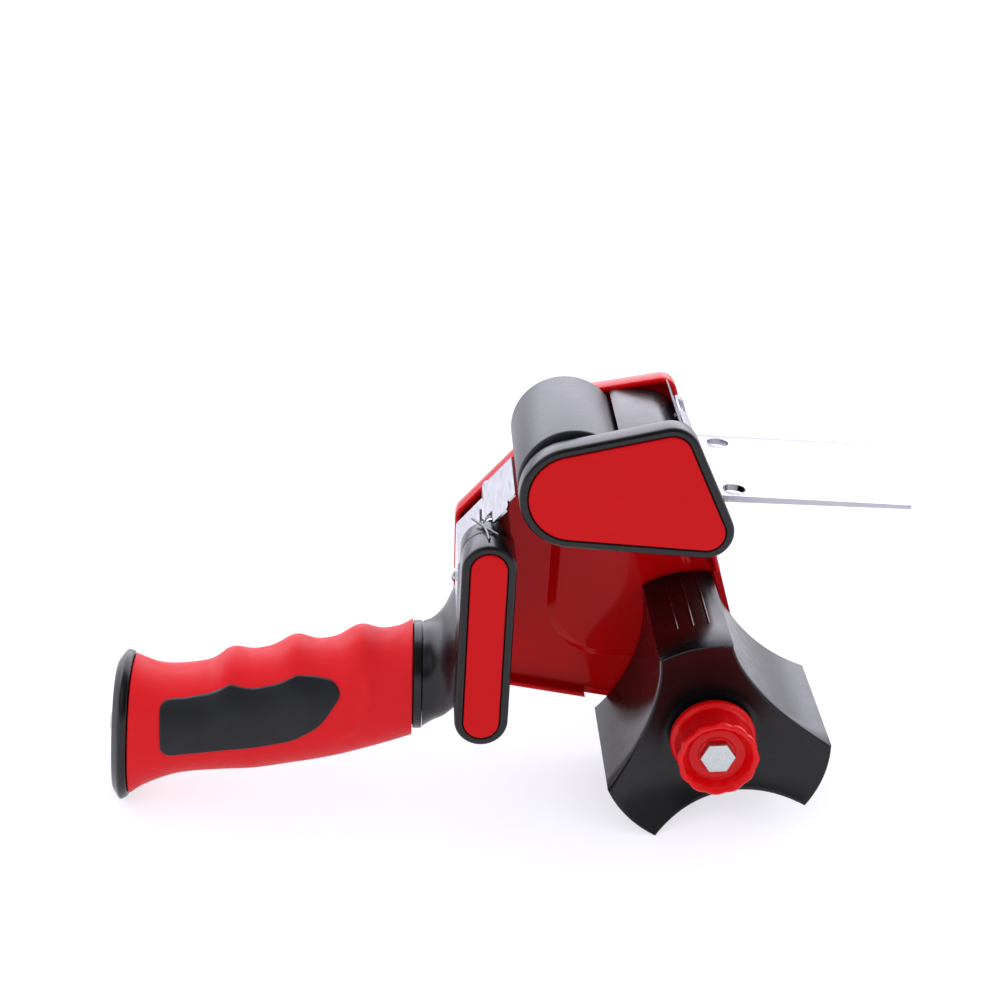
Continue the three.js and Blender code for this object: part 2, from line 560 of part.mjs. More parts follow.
function addBrake() {
  add("brake_washer", tube(0, 0, BOLT.shank + GAP, 8.8, 9.2, 10, 28), PAINT.zinc);
  add("brake_spring", tube(0, 0, 4.6, 6.2, 1.1, 8.9, 24), PAINT.steel);
  add("spring_cap", tube(0, 0, BOLT.shank + GAP, 8.6, 0, 0.8, 24), PAINT.zinc);

  const rim = new THREE.Shape();
  const points = Array.from({ length: KNOB.scallops * 6 }, (_, i) => {
    const angle = (i / (KNOB.scallops * 6)) * TURN;
    const reach = KNOB.radius + KNOB.scallopDepth * Math.cos(angle * KNOB.scallops);
    return new THREE.Vector2(reach * Math.cos(angle), reach * Math.sin(angle));
  });
  rim.setFromPoints(points);
  const lip = slab(rim, KNOB.front, -1.5, 1);
  const body = turned(0, 0, [[0, -2], [KNOB.drum, -2], [KNOB.drum, 5.2], [KNOB.flange - 0.8, 5.2],
    [KNOB.flange, 6], [KNOB.flange, KNOB.back - 0.8], [KNOB.flange - 0.8, KNOB.back], [0, KNOB.back]], 36);
  const cup = turned(0, 0, [[6.1, KNOB.front - 1], [11.4, KNOB.front - 1], [11.4, KNOB.front], [8.8, -2.4],
    [6.1, -2.4]], 32);
  const boss = rod(0, 0, 6.3, KNOB.front - 1, -3, 24);
  const pocket = rod(0, 0, KNOB.pocket, -GAP, KNOB.back + 1, 28);
  const bore = rod(0, 0, BOLT.shank + GAP, -20, 20, 20);
  add("brake_knob", cut(join(lip, body), cup, boss, pocket, bore), PAINT.red);

  const { headFront, headBack } = BOLT;
  const head = new THREE.CylinderGeometry(BOLT.acrossFlats / Math.sqrt(3), BOLT.acrossFlats / Math.sqrt(3),
    headBack - headFront, 6).rotateY(Math.PI / 2).translate(0, (headBack + headFront) / 2, 0);
  const shank = rod(0, 0, BOLT.shank, headBack - 0.5, BOLT.back, 20);
  add("brake_bolt", join(head, shank), PAINT.zinc);
  add("brake_nut", cut(rod(0, 0, SPINDLE.socket - GAP, 16, 21, 6),
    rod(0, 0, BOLT.shank + GAP, 0, 40, 20)), PAINT.zinc);
}

addSidePlate();
addPlateScrews();
addSpindle();
addPost();
addCover("post_cover", (grow) => postOutline(POST_RADIUS + grow), "post_inlay", POST_COVER_BACK);
addHandle();
addHousing();
addCover("nose_cover", (grow) => belt(NOSE_CORNERS, grow), "nose_inlay", COVER_BACK, [
  rod(ROLLER.x, ROLLER.z, ROLLER.axleRadius + GAP, AXLE_FRONT - GAP, COVER_BACK + 1, 16),
]);
addRoller();
addBlade();
addGuard();
addGuidePlate();
addGuideScrew();
addFlap();
addFlapSpring();
addHub();
addBrake();

const bounds = new THREE.Box3().setFromObject(dispenser);
const middle = bounds.getCenter(new THREE.Vector3());
dispenser.position.set(-middle.x, -middle.y, -bounds.min.z);

export default dispenser;
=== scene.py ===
"""A hand-held packing-tape dispenser on a pale floor: glossy red side plate, black post and nose with
red inlays, soft red grip, rubber roller, toothed steel blade under a clear guard, and a three-lobed hub."""
from math import acos, asin, atan2, cos, exp, hypot, pi, radians, sin, sqrt, tan

import bmesh
import bpy
from mathutils import Euler, Matrix, Vector


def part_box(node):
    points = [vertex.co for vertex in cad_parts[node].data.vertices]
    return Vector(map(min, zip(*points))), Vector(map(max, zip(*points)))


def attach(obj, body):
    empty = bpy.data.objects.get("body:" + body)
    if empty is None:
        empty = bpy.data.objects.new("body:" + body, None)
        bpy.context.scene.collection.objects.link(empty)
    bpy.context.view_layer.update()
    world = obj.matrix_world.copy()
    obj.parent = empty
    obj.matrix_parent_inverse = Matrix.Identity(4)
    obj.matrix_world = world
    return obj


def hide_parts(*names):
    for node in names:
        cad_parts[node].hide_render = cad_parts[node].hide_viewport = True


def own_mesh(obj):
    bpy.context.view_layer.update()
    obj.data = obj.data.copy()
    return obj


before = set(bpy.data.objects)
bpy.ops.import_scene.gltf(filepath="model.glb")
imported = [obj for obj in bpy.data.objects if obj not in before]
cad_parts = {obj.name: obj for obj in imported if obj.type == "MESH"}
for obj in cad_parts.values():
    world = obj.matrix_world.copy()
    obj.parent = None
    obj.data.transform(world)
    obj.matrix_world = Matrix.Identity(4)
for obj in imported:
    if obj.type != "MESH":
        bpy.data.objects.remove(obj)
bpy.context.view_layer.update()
scene = bpy.context.scene
MM = 0.001

# Where things are. The hub's axis and the side plate's rim are found in the frame, and every piece below
# is drawn in millimetres from the point where that axis meets the plane of the hub's front.
washer_low, washer_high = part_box("brake_washer")
plate_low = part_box("side_plate")[0]
RIM_FRONT, PLATE_BACK = 51, 58  # the side plate's depths, from the hub's front
hub_point = (washer_low + washer_high) / 2
hub_point.y = plate_low.y - RIM_FRONT * MM


# Stage ----------------------------------------------------------------------------------------------
# A wide pale paper floor in a white room. A tall soft light fills the room's back wall, which puts a
# lilac sheen on the upper faces, and the near side is dim, so that the blacks stay dark.
def linear(code):
    """An sRGB hex colour as linear RGBA."""
    parts = [int(code[i : i + 2], 16) / 255 for i in (0, 2, 4)]
    return [p / 12.92 if p <= 0.04045 else ((p + 0.055) / 1.055) ** 2.4 for p in parts] + [1.0]


def add(tree, kind, inputs=None, **settings):
    """Adds a node. Inputs are values or sockets, by the input's name or number."""
    made = tree.nodes.new(kind)
    for key, value in settings.items():
        setattr(made, key, value)
    for key, value in (inputs or {}).items():
        if isinstance(value, bpy.types.NodeSocket):
            tree.links.new(value, made.inputs[key])
        else:
            made.inputs[key].default_value = value
    return made


def blank_material(name):
    made = bpy.data.materials.new(name)
    made.use_nodes = True
    made.node_tree.nodes.clear()
    return made, made.node_tree


paper, tree = blank_material("pale_paper")
fibres = add(tree, "ShaderNodeTexNoise", {"Scale": 60.0, "Detail": 4.0})
shade = add(tree, "ShaderNodeMix", {"Factor": fibres.outputs["Fac"], 6: linear("B0B0B2"),
                                    7: linear("B4B4B6")}, data_type="RGBA")
skin = add(tree, "ShaderNodeBsdfDiffuse", {"Color": shade.outputs[2], "Roughness": 0.5})
# The paper gives off some light of its own, so only a faint contact shadow is left on it.
lit_from_below = add(tree, "ShaderNodeEmission", {"Color": linear("FBFAFF"), "Strength": 0.65})
both = add(tree, "ShaderNodeAddShader", {0: skin.outputs[0], 1: lit_from_below.outputs[0]})
add(tree, "ShaderNodeOutputMaterial", {"Surface": both.outputs[0]})

FLOOR = 14.0  # metres from its middle to each edge
corners = [(-FLOOR, -FLOOR, 0.0), (FLOOR, -FLOOR, 0.0), (FLOOR, FLOOR, 0.0), (-FLOOR, FLOOR, 0.0)]
mesh = bpy.data.meshes.new("paper_floor")
mesh.from_pydata(corners, [], [(0, 1, 2, 3)])
paper_floor = bpy.data.objects.new("paper_floor", mesh)
paper_floor.data.materials.append(paper)
scene.collection.objects.link(paper_floor)

# The room's brightness by direction: dim in front, full behind, and brighter still on the back wall above
# the floor. Light that comes from it to a matt surface is even, whatever its direction.
FRONT_LIGHT, BACK_LIGHT, BACK_WALL_LIGHT, EVEN_LIGHT = 0.15, 1.0, 3.1, 1.2
room = bpy.data.worlds.new("white_room")
room.use_nodes = True
scene.world = room
tree = room.node_tree
tree.nodes.clear()
ray = add(tree, "ShaderNodeTexCoord")
way = add(tree, "ShaderNodeSeparateXYZ", {0: ray.outputs["Generated"]})
depth = add(tree, "ShaderNodeMapRange", {"Value": way.outputs["Y"], "From Min": -0.5, "From Max": 0.2,
                                         "To Min": FRONT_LIGHT, "To Max": BACK_LIGHT},
            interpolation_type="SMOOTHSTEP")
behind = add(tree, "ShaderNodeMapRange", {"Value": way.outputs["Y"], "From Min": -0.1, "From Max": 0.3,
                                          "To Min": 0.0, "To Max": BACK_WALL_LIGHT},
             interpolation_type="SMOOTHSTEP")
height = add(tree, "ShaderNodeMapRange", {"Value": way.outputs["Z"], "From Min": 0.0, "From Max": 0.25,
                                          "To Min": 0.0, "To Max": 1.0},
             interpolation_type="SMOOTHSTEP")
panel = add(tree, "ShaderNodeMath", {0: behind.outputs[0], 1: height.outputs[0]}, operation="MULTIPLY")
strength = add(tree, "ShaderNodeMath", {0: depth.outputs[0], 1: panel.outputs[0]}, operation="ADD")
bounce = add(tree, "ShaderNodeLightPath").outputs["Is Diffuse Ray"]
strength = add(tree, "ShaderNodeMix", {0: bounce, 2: strength.outputs[0], 3: EVEN_LIGHT}, data_type="FLOAT")
glow = add(tree, "ShaderNodeBackground", {"Color": linear("F4F3FF"), "Strength": strength.outputs[0]})
add(tree, "ShaderNodeOutputWorld", {"Surface": glow.outputs[0]})


def soft_light(name, place, aim, size, watts):
    lamp = bpy.data.lights.new(name, "AREA")
    lamp.shape, lamp.size, lamp.size_y, lamp.energy = "RECTANGLE", size[0], size[1], watts
    made = bpy.data.objects.new(name, lamp)
    made.location = place
    made.rotation_euler = (Vector(aim) - Vector(place)).to_track_quat("-Z", "Y").to_euler()
    scene.collection.objects.link(made)


OBJECT_MIDDLE, SOFT_BOX = (0.0, 0.0, 0.06), (0.9, 0.9)
soft_light("near_left", (-0.8, -0.9, 0.7), OBJECT_MIDDLE, SOFT_BOX, 1.6)
soft_light("near_right", (0.9, -0.8, 0.5), OBJECT_MIDDLE, SOFT_BOX, 0.8)

CAMERA_AZIMUTH, CAMERA_ELEVATION, CAMERA_ROLL = radians(-2.94), radians(23.73), radians(2.0)
# Metres from the hub point, along the camera's own axes.
CAMERA_AWAY, CAMERA_LEFT, CAMERA_UP = 0.64215, 0.06929, 0.08014
level = Euler((pi / 2 - CAMERA_ELEVATION, 0.0, CAMERA_AZIMUTH)).to_matrix()
level = level @ Matrix.Rotation(CAMERA_ROLL, 3, "Z")
camera = bpy.data.objects.new("camera", bpy.data.cameras.new("camera"))
camera.data.lens, camera.data.sensor_width = 72.0, 36.0
camera.rotation_euler = level.to_euler()
camera.location = hub_point + level @ Vector((-CAMERA_LEFT, CAMERA_UP, CAMERA_AWAY))
scene.collection.objects.link(camera)
scene.camera = camera
scene.view_settings.view_transform = "Standard"


# Side plate -----------------------------------------------------------------------------------------
# The spine of the dispenser: one injection-moulded tray of glossy red ABS on the far side, with a turned
# rim all round and a raised panel that stiffens its floor. Everything else is screwed or snapped to it.
def plastic(name, colour, tint, roughness, grain, relief, shine=0.5, sheen=0.0, uneven=0.05):
    """A moulded plastic: two close colours in soft clouds, and a skin with a grain of a real size in mm."""
    made, tree = blank_material(name)
    spot = add(tree, "ShaderNodeTexCoord").outputs["Object"]
    clouds = add(tree, "ShaderNodeTexNoise", {"Vector": spot, "Scale": 1 / (22 * MM), "Detail": 3.0})
    flow = add(tree, "ShaderNodeTexNoise", {"Vector": spot, "Scale": 1 / (5 * MM), "Detail": 2.0})
    tone = add(tree, "ShaderNodeMix", {"Factor": clouds.outputs["Fac"], 6: linear(colour), 7: linear(tint)},
               data_type="RGBA")
    polish = add(tree, "ShaderNodeMapRange", {"Value": flow.outputs["Fac"], "From Min": 0.3, "From Max": 0.7,
                                              "To Min": roughness - uneven, "To Max": roughness + uneven})
    skin = add(tree, "ShaderNodeTexNoise", {"Vector": spot, "Scale": 1 / (grain * MM), "Detail": 3.0})
    bump = add(tree, "ShaderNodeBump", {
        "Height": skin.outputs["Fac"], "Distance": relief * MM, "Strength": 1.0})
    shader = add(tree, "ShaderNodeBsdfPrincipled", {
        "Base Color": tone.outputs[2], "Roughness": polish.outputs[0], "Normal": bump.outputs[0],
        "IOR": 1.5, "Specular IOR Level": shine, "Sheen Weight": sheen, "Sheen Roughness": 0.5})
    add(tree, "ShaderNodeOutputMaterial", {"Surface": shader.outputs[0]})
    return made


# Injection-moulded ABS from a polished mould: a wet-looking gloss with a very slight orange peel.
gloss_red = plastic("moulded_abs_gloss_red", "B40408", "BE060A", 0.1, 3.0, 0.004, shine=0.14, uneven=0.03)


def fillet(corners, radius, steps=4, closed=False):
    """A polyline with its corners rounded. A corner may carry its own radius as a third number."""
    count, path = len(corners), []
    for i, corner in enumerate(corners):
        here = Vector(corner[:2])
        size = corner[2] if len(corner) > 2 else radius
        if not closed and i in (0, count - 1):
            path.append(here)
            continue
        before = Vector(corners[i - 1][:2]) - here
        after = Vector(corners[(i + 1) % count][:2]) - here
        turn = before.angle(after)
        if size <= 0 or turn > radians(179) or turn < radians(1):
            path.append(here)
            continue
        reach = min(size / tan(turn / 2), 0.48 * before.length, 0.48 * after.length)
        before.normalize()
        after.normalize()
        middle = here + (before + after).normalized() * reach / cos(turn / 2)
        start, end = here + before * reach - middle, here + after * reach - middle
        sweep_angle = start.angle_signed(end)
        path += [middle + Matrix.Rotation(-sweep_angle * k / steps, 2) @ start for k in range(steps + 1)]
    return [tuple(p) for p in path]


def belt(circles, steps=12):
    """A belt stretched anticlockwise round circles (x, z, radius), as (x, z, outward x, outward z)."""
    count, path, leaving = len(circles), [], []
    for i, (x, z, radius) in enumerate(circles):
        next_x, next_z, next_radius = circles[(i + 1) % count]
        way = atan2(next_z - z, next_x - x)
        leaving.append(way - acos((radius - next_radius) / hypot(next_x - x, next_z - z)))
    for i, (x, z, radius) in enumerate(circles):
        start, end = leaving[i - 1], leaving[i]
        while end < start:
            end += 2 * pi
        for k in range(steps + 1):
            angle = start + (end - start) * k / steps
            path.append((x + radius * cos(angle), z + radius * sin(angle), cos(angle), sin(angle)))
    return path


def skinned(rings, first_cap=True, last_cap=True, closed=False):
    """Faces through rings of points, with the ends filled or the last ring joined to the first."""
    around = len(rings[0])
    points = [p for ring in rings for p in ring]
    faces = []
    for i in range(len(rings) - (0 if closed else 1)):
        a, b = i * around, (i + 1) % len(rings) * around
        faces += [(a + j, a + (j + 1) % around, b + (j + 1) % around, b + j) for j in range(around)]
    if first_cap and not closed:
        faces.append(tuple(range(around)))
    if last_cap and not closed:
        faces.append(tuple((len(rings) - 1) * around + j for j in range(around)))
    return points, faces


def piece(name, shells, material, body, nodes=(), sharp=38.0):
    """A finished object from closed shells of (points in mm from the hub point, faces), riding on a body."""
    shape = bmesh.new()
    for points, faces in shells:
        verts = [shape.verts.new(hub_point + Vector(p) * MM) for p in points]
        for face in faces:
            if len({verts[i].co.to_tuple(7) for i in face}) > 2:
                shape.faces.new([verts[i] for i in face])
    bmesh.ops.remove_doubles(shape, verts=shape.verts, dist=1e-6)
    bmesh.ops.dissolve_degenerate(shape, edges=shape.edges, dist=1e-7)
    bmesh.ops.recalc_face_normals(shape, faces=shape.faces)
    mesh = bpy.data.meshes.new(name)
    shape.to_mesh(mesh)
    shape.free()
    return finish(name, mesh, material, body, nodes, sharp)


def finish(name, mesh, material, body, nodes=(), sharp=38.0):
    """Gives a mesh its shading, material and body, and hides the CAD nodes that it stands for."""
    mesh.shade_smooth()
    mesh.set_sharp_from_angle(angle=radians(sharp))
    mesh.materials.clear()
    mesh.materials.append(material)
    made = bpy.data.objects.new(name, mesh)
    scene.collection.objects.link(made)
    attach(made, body)
    if nodes:
        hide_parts(*nodes)
    return made


def banded(path, profile):
    """A shell whose cross-section is a profile of (outward, depth) carried round a belt."""
    return skinned([[(x + out * nx, y, z + out * nz) for x, z, nx, nz in path] for out, y in profile])


def turned(profile, x=0.0, z=0.0, steps=48):
    """A shell turned about an axis along Y, from (radius, depth) points."""
    closed = profile[0][0] > 0 and profile[-1][0] > 0
    rings = [[(x + r * cos(2 * pi * k / steps), y, z + r * sin(2 * pi * k / steps)) for k in range(steps)]
             for r, y in profile]
    return skinned(rings, closed=closed)


def loose_mesh(name, shells):
    """A mesh in its own millimetres, for a tree to copy."""
    shape = bmesh.new()
    for points, faces in shells:
        verts = [shape.verts.new(p) for p in points]
        for face in faces:
            if len({verts[i].co.to_tuple(5) for i in face}) > 2:
                shape.faces.new([verts[i] for i in face])
    bmesh.ops.remove_doubles(shape, verts=shape.verts, dist=1e-4)
    bmesh.ops.recalc_face_normals(shape, faces=shape.faces)
    mesh = bpy.data.meshes.new(name)
    shape.to_mesh(mesh)
    shape.free()
    return mesh


def united(name, shells, cutters=()):
    """Shells or meshes joined, and cutters taken away, into one mesh in mm."""
    meshes = [shell if isinstance(shell, bpy.types.Mesh) else loose_mesh(name, [shell])
              for shell in list(shells) + list(cutters)]
    parts = [bpy.data.objects.new(name, mesh) for mesh in meshes]
    for part in parts:
        scene.collection.objects.link(part)
    for i, other in enumerate(parts[1:], 1):
        joint = parts[0].modifiers.new("joint", "BOOLEAN")
        joint.object, joint.solver = other, "EXACT"
        joint.operation = "UNION" if i < len(shells) else "DIFFERENCE"
    bpy.context.view_layer.update()
    evaluated = parts[0].evaluated_get(bpy.context.evaluated_depsgraph_get())
    mesh = bpy.data.meshes.new_from_object(evaluated)
    for part in parts:
        bpy.data.objects.remove(part)
    return mesh


def placed(mesh):
    """Takes a mesh in mm to its place in the frame."""
    mesh.transform(Matrix.Translation(hub_point) @ Matrix.Scale(MM, 4))
    return mesh


PLATE_SCREWS = {"post_screw_top": (-74.6, 55), "post_screw_low": (-76.1, 14.4),
                "nose_screw_top": (-26, 94), "nose_screw_low": (-19, 83), "spindle_screw": (0, 0)}
ROLLER_X, ROLLER_Z, ROLLER_RADIUS = -50, 92, 17
HUB_RADIUS, HUB_WAIST, HUB_LENGTH = 37.5, 22.0, 55.0
# The corners of the plate and of its raised panel, as x, z and radius.
PLATE_CORNERS = [(0, 0, 16.5), (-18.4, 102.7, 5), (-40.9, 95.4, 8), (-78.2, 56.9, 6), (-76, 4.3, 8)]
FLOOR_FRONT = 56
tray_profile = fillet([(-4.5, FLOOR_FRONT), (-2.2, FLOOR_FRONT, 1.6), (-2, RIM_FRONT, 0.9),
                       (0, RIM_FRONT, 0.9), (0.0, PLATE_BACK, 1.2), (-3, PLATE_BACK)], 0.8)
PANEL_CORNERS = [(-6, 12, 8), (-24, 92, 8), (-38, 84, 8), (-43.2, 60, 8), (-31.5, 24.5, 20.5)]
PANEL_HEIGHT = 1.6
panel_profile = fillet([(0.5, FLOOR_FRONT + 0.5), (0.0, FLOOR_FRONT),
                        (-3, FLOOR_FRONT - PANEL_HEIGHT, 2.0), (-7.5, FLOOR_FRONT - PANEL_HEIGHT)], 0.5)
# A boss stands behind the roller, and its hole lets the axle's head in. The screws' holes are countersunk,
# and the rim is cut away where the hub's lobes turn past it.
boss = turned([(0, RIM_FRONT), (6.2, RIM_FRONT), (6.5, RIM_FRONT + 0.3), (6.5, 57), (0, 57)],
              ROLLER_X, ROLLER_Z)
axle_hole = turned([(0, 50), (3.3, 50), (3.3, 56.4), (5.3, 56.4), (5.3, 60), (0, 60)], ROLLER_X, ROLLER_Z)
sinks = [turned([(0, 55), (2.1, 55), (2.1, 56.1), (3.95, 58), (3.95, 60), (0, 60)], x, z, 32)
         for x, z in PLATE_SCREWS.values()]
ROOM_RADIUS, ROOM_DEPTH = HUB_RADIUS + 1.5, HUB_LENGTH + 0.3
lobe_room = turned([(0, 50), (ROOM_RADIUS, 50), (ROOM_RADIUS, ROOM_DEPTH), (0, ROOM_DEPTH)], steps=160)
tray = banded(belt(PLATE_CORNERS, 16), tray_profile)
panel = banded(belt(PANEL_CORNERS, 16), panel_profile)
plate = united("side_plate", [tray, panel, boss], [lobe_room, axle_hole, *sinks])
finish("side_plate_shell", placed(plate), gloss_red, "frame", ["side_plate"], 30)


# Plate screws ---------------------------------------------------------------------------------------
# Five zinc-plated self-tapping screws driven from the far side through the plate into the post, the nose
# and the hub's spindle. Their countersunk heads lie flush, and have a pressed cross recess.
def metal(name, colour, tint, roughness, streak, relief, along=(1.0, 1.0, 1.0), size=2.0):
    """A bare or plated metal: two close tones, uneven polish and fine streaks of a real width in mm."""
    made, tree = blank_material(name)
    spot = add(tree, "ShaderNodeTexCoord").outputs["Object"]
    drawn = add(tree, "ShaderNodeMapping", {"Vector": spot, "Scale": along})
    clouds = add(tree, "ShaderNodeTexNoise", {"Vector": spot, "Scale": 1 / (size * MM), "Detail": 4.0})
    lines = add(tree, "ShaderNodeTexNoise", {"Vector": drawn.outputs[0], "Scale": 1 / (streak * MM),
                                             "Detail": 2.0})
    tone = add(tree, "ShaderNodeMix", {"Factor": clouds.outputs["Fac"], 6: linear(colour), 7: linear(tint)},
               data_type="RGBA")
    polish = add(tree, "ShaderNodeMapRange", {"Value": lines.outputs["Fac"], "From Min": 0.3, "From Max": 0.7,
                                              "To Min": roughness * 0.7, "To Max": roughness * 1.4})
    bump = add(tree, "ShaderNodeBump", {
        "Height": lines.outputs["Fac"], "Distance": relief * MM, "Strength": 1.0})
    shader = add(tree, "ShaderNodeBsdfPrincipled", {
        "Base Color": tone.outputs[2], "Roughness": polish.outputs[0], "Normal": bump.outputs[0],
        "Metallic": 1.0})
    add(tree, "ShaderNodeOutputMaterial", {"Surface": shader.outputs[0]})
    return made


# Bright zinc plating, passivated: a cool white metal with faint blue and straw patches.
zinc = metal("zinc_plated_steel", "C9CDD2", "B9BDB6", 0.26, 0.5, 0.004, size=1.6)


def cross_recess(depth, reach, width, floor):
    """The four-armed outline of a pressed cross recess, and its narrower floor, as rings on a flat head."""
    arms = []
    for quarter in range(4):
        turn = Matrix.Rotation(quarter * pi / 2, 2)
        arms += [turn @ Vector(p) for p in ((width, width), (width, reach), (-width, reach))]
    return [(p.x, depth, p.y) for p in arms], [(p.x * 0.55, floor, p.y * 0.55) for p in arms]


def screw_head(radius, height, shape="pan"):
    """A screw's head that faces -Y, with a cross recess: a pan head on y = 0, or a flush one below it."""
    steps = 32
    if shape == "pan":
        outer = fillet([(0.0, 0.0), (radius, 0.0, 0.25), (radius * 0.96, -height * 0.55, 1.0),
                        (radius * 0.62, -height, 0.4), (radius * 0.56, -height)], 0.3)
        land = -height
    else:
        outer = fillet([(0.0, height), (radius * 0.45, height), (radius, 0.15, 0.1), (radius, 0.0, 0.1),
                        (radius * 0.6, 0.0)], 0.1)
        land = 0.0
    points, faces = skinned([[(r * cos(2 * pi * k / steps), y, r * sin(2 * pi * k / steps))
                              for k in range(steps)] for r, y in outer], last_cap=False)
    rim_start = len(points) - steps
    mouth, bottom = cross_recess(land, radius * 0.44, radius * 0.1, land + height * 0.6)
    start = len(points)
    points += mouth + bottom
    arms = len(mouth)

    def nearest(k):
        angle = 2 * pi * (k + 0.5) / steps
        return min(range(arms), key=lambda i: -(mouth[i][0] * cos(angle) + mouth[i][2] * sin(angle)))

    # The land between the round rim and the cross is filled with fans of triangles.
    for k in range(steps):
        arm, last = nearest(k), nearest(k + 1)
        faces.append((rim_start + k, rim_start + (k + 1) % steps, start + arm))
        while arm != last:
            faces.append((rim_start + (k + 1) % steps, start + (arm + 1) % arms, start + arm))
            arm = (arm + 1) % arms
    faces += [(start + i, start + (i + 1) % arms, start + arms + (i + 1) % arms, start + arms + i)
              for i in range(arms)]
    faces.append(tuple(start + arms + i for i in range(arms)))
    return points, faces


def made_by(tree, name, sizes, geometry=None):
    """Runs a node tree once and returns what it makes as a plain mesh."""
    host = bpy.data.objects.new(name, geometry or bpy.data.meshes.new(name))
    scene.collection.objects.link(host)
    modifier = host.modifiers.new(name, "NODES")
    modifier.node_group = tree
    for socket in tree.interface.items_tree:
        if socket.name in sizes:
            modifier[socket.identifier] = sizes[socket.name]
    bpy.context.view_layer.update()
    evaluated = host.evaluated_get(bpy.context.evaluated_depsgraph_get())
    mesh = bpy.data.meshes.new_from_object(evaluated)
    bpy.data.objects.remove(host)
    return mesh


def node_tree(name, **sockets):
    """An empty geometry tree with named inputs."""
    tree = bpy.data.node_groups.new(name, "GeometryNodeTree")
    for label, kind in sockets.items():
        socket_type = "NodeSocket" + kind
        tree.interface.new_socket(label.replace("_", " "), in_out="INPUT", socket_type=socket_type)
    tree.interface.new_socket("Geometry", in_out="OUTPUT", socket_type="NodeSocketGeometry")
    return tree, add(tree, "NodeGroupInput")


def give_out(tree, geometry, material):
    """Ends a geometry tree: instances made real, then the material."""
    real = add(tree, "GeometryNodeRealizeInstances", {0: geometry})
    dressed = add(tree, "GeometryNodeSetMaterial", {"Geometry": real.outputs[0], "Material": material})
    add(tree, "NodeGroupOutput", {0: dressed.outputs[0]})


def copies(name, pattern, places, turn, material):
    """Copies of a pattern at places in mm from the hub point, each turned by an Euler angle."""
    tree, given = node_tree(name, Places="Geometry", Pattern="Object", Turn="Rotation", Size="Float")
    shape = add(tree, "GeometryNodeObjectInfo", {"Object": given.outputs["Pattern"]})
    spread = add(tree, "GeometryNodeInstanceOnPoints", {
        "Points": given.outputs["Places"], "Instance": shape.outputs["Geometry"],
        "Rotation": given.outputs["Turn"], "Scale": given.outputs["Size"]})
    give_out(tree, spread.outputs[0], material)
    pattern_object = bpy.data.objects.new(name + "_pattern", pattern)
    scene.collection.objects.link(pattern_object)
    spots = bpy.data.meshes.new(name)
    spots.from_pydata([hub_point + Vector(p) * MM for p in places], [], [])
    mesh = made_by(tree, name, {"Pattern": pattern_object, "Turn": Euler(turn), "Size": MM}, spots)
    bpy.data.objects.remove(pattern_object)
    return mesh


screw_shank = turned(fillet([(0, 1.5), (1.6, 1.5), (1.6, 12), (0.3, 13.8), (0, 13.8)], 0.1), steps=20)
plate_screw = loose_mesh("plate_screw", [screw_head(3.4, 1.6, "flush"), screw_shank])
places = [(x, PLATE_BACK - 0.15, z) for x, z in PLATE_SCREWS.values()]
screws = copies("plate_screws", plate_screw, places, (0, 0, pi), zinc)
finish("plate_screws", screws, zinc, "frame", list(PLATE_SCREWS))


# Post -----------------------------------------------------------------------------------------------
# A hollow black column moulded in one with the flared neck that takes the handle. Its rounded top carries
# the tape guide. Satin polypropylene, so upper faces catch a broad pale sheen.
satin_black = plastic("moulded_polypropylene_black", "08090A", "0D0E10", 0.25, 0.7, 0.001,
                      shine=0.36, uneven=0.03)
POST_LOW, POST_TOP = (-76.1, 14.4), (-75.0, 66.6)
COVER_FRONT, COVER_BACK, POST_COVER_BACK = -9, -2, 1.8


def superellipse(x, y, z, half_depth, half_height, power=2.3, lean=0.0, steps=72):
    """A ring across X: power 2 is an ellipse, more is squarer."""
    ring = []
    for i in range(steps):
        c, s = cos(2 * pi * i / steps), sin(2 * pi * i / steps)
        up = half_height * (1 if s > 0 else -1) * abs(s) ** (2 / power)
        side = half_depth * (1 if c > 0 else -1) * abs(c) ** (2 / power)
        ring.append((x + lean * up, y + side, z + up))
    return ring


def eased(table, value):
    """Every column of a table of rows, passing smoothly through them in order of the first column."""
    i = next((k for k in range(1, len(table)) if table[k][0] >= value), len(table) - 1)
    span = table[i][0] - table[i - 1][0]
    t = (value - table[i - 1][0]) / span

    def slope(k, column):
        before, after = table[max(k - 1, 0)], table[min(k + 1, len(table) - 1)]
        return (after[column] - before[column]) / (after[0] - before[0])

    return [table[i - 1][c] * (1 + 2 * t) * (1 - t) ** 2 + slope(i - 1, c) * span * t * (1 - t) ** 2
            + table[i][c] * t * t * (3 - 2 * t) + slope(i, c) * span * t * t * (t - 1)
            for c in range(1, len(table[0]))]


GRIP_MIDDLE = 25  # depth of the grip's middle
# x, height of the middle, half depth, half height, squareness
NECK = [(-94.3, 13.0, 15.4, 17.2, 2.2), (-91, 15.0, 15.6, 16.8, 2.2), (-87.5, 18.0, 18.0, 16.8, 2.4),
        (-84.4, 23.0, 21.6, 16.4, 3.0), (-82, 27.0, 22.8, 16.0, 4.0), (-77, 27.0, 22.9, 15.6, 5.0)]
NECK_RINGS = 30
neck_rings = []
for i in range(NECK_RINGS + 1):
    x = NECK[0][0] + (NECK[-1][0] - NECK[0][0]) * i / NECK_RINGS
    z, half_depth, half_height, power = eased(NECK, x)
    neck_rings.append(superellipse(x, GRIP_MIDDLE, z, half_depth, half_height, power))
POST_RADIUS, CHEEK_RADIUS = 7.6, 8.4
CHEEK_BACK, SLOPE = 9.8, radians(48.5)
slope_frame = Matrix.Translation((POST_TOP[0], 0, POST_TOP[1])) @ Matrix.Rotation(-SLOPE, 4, "Y")
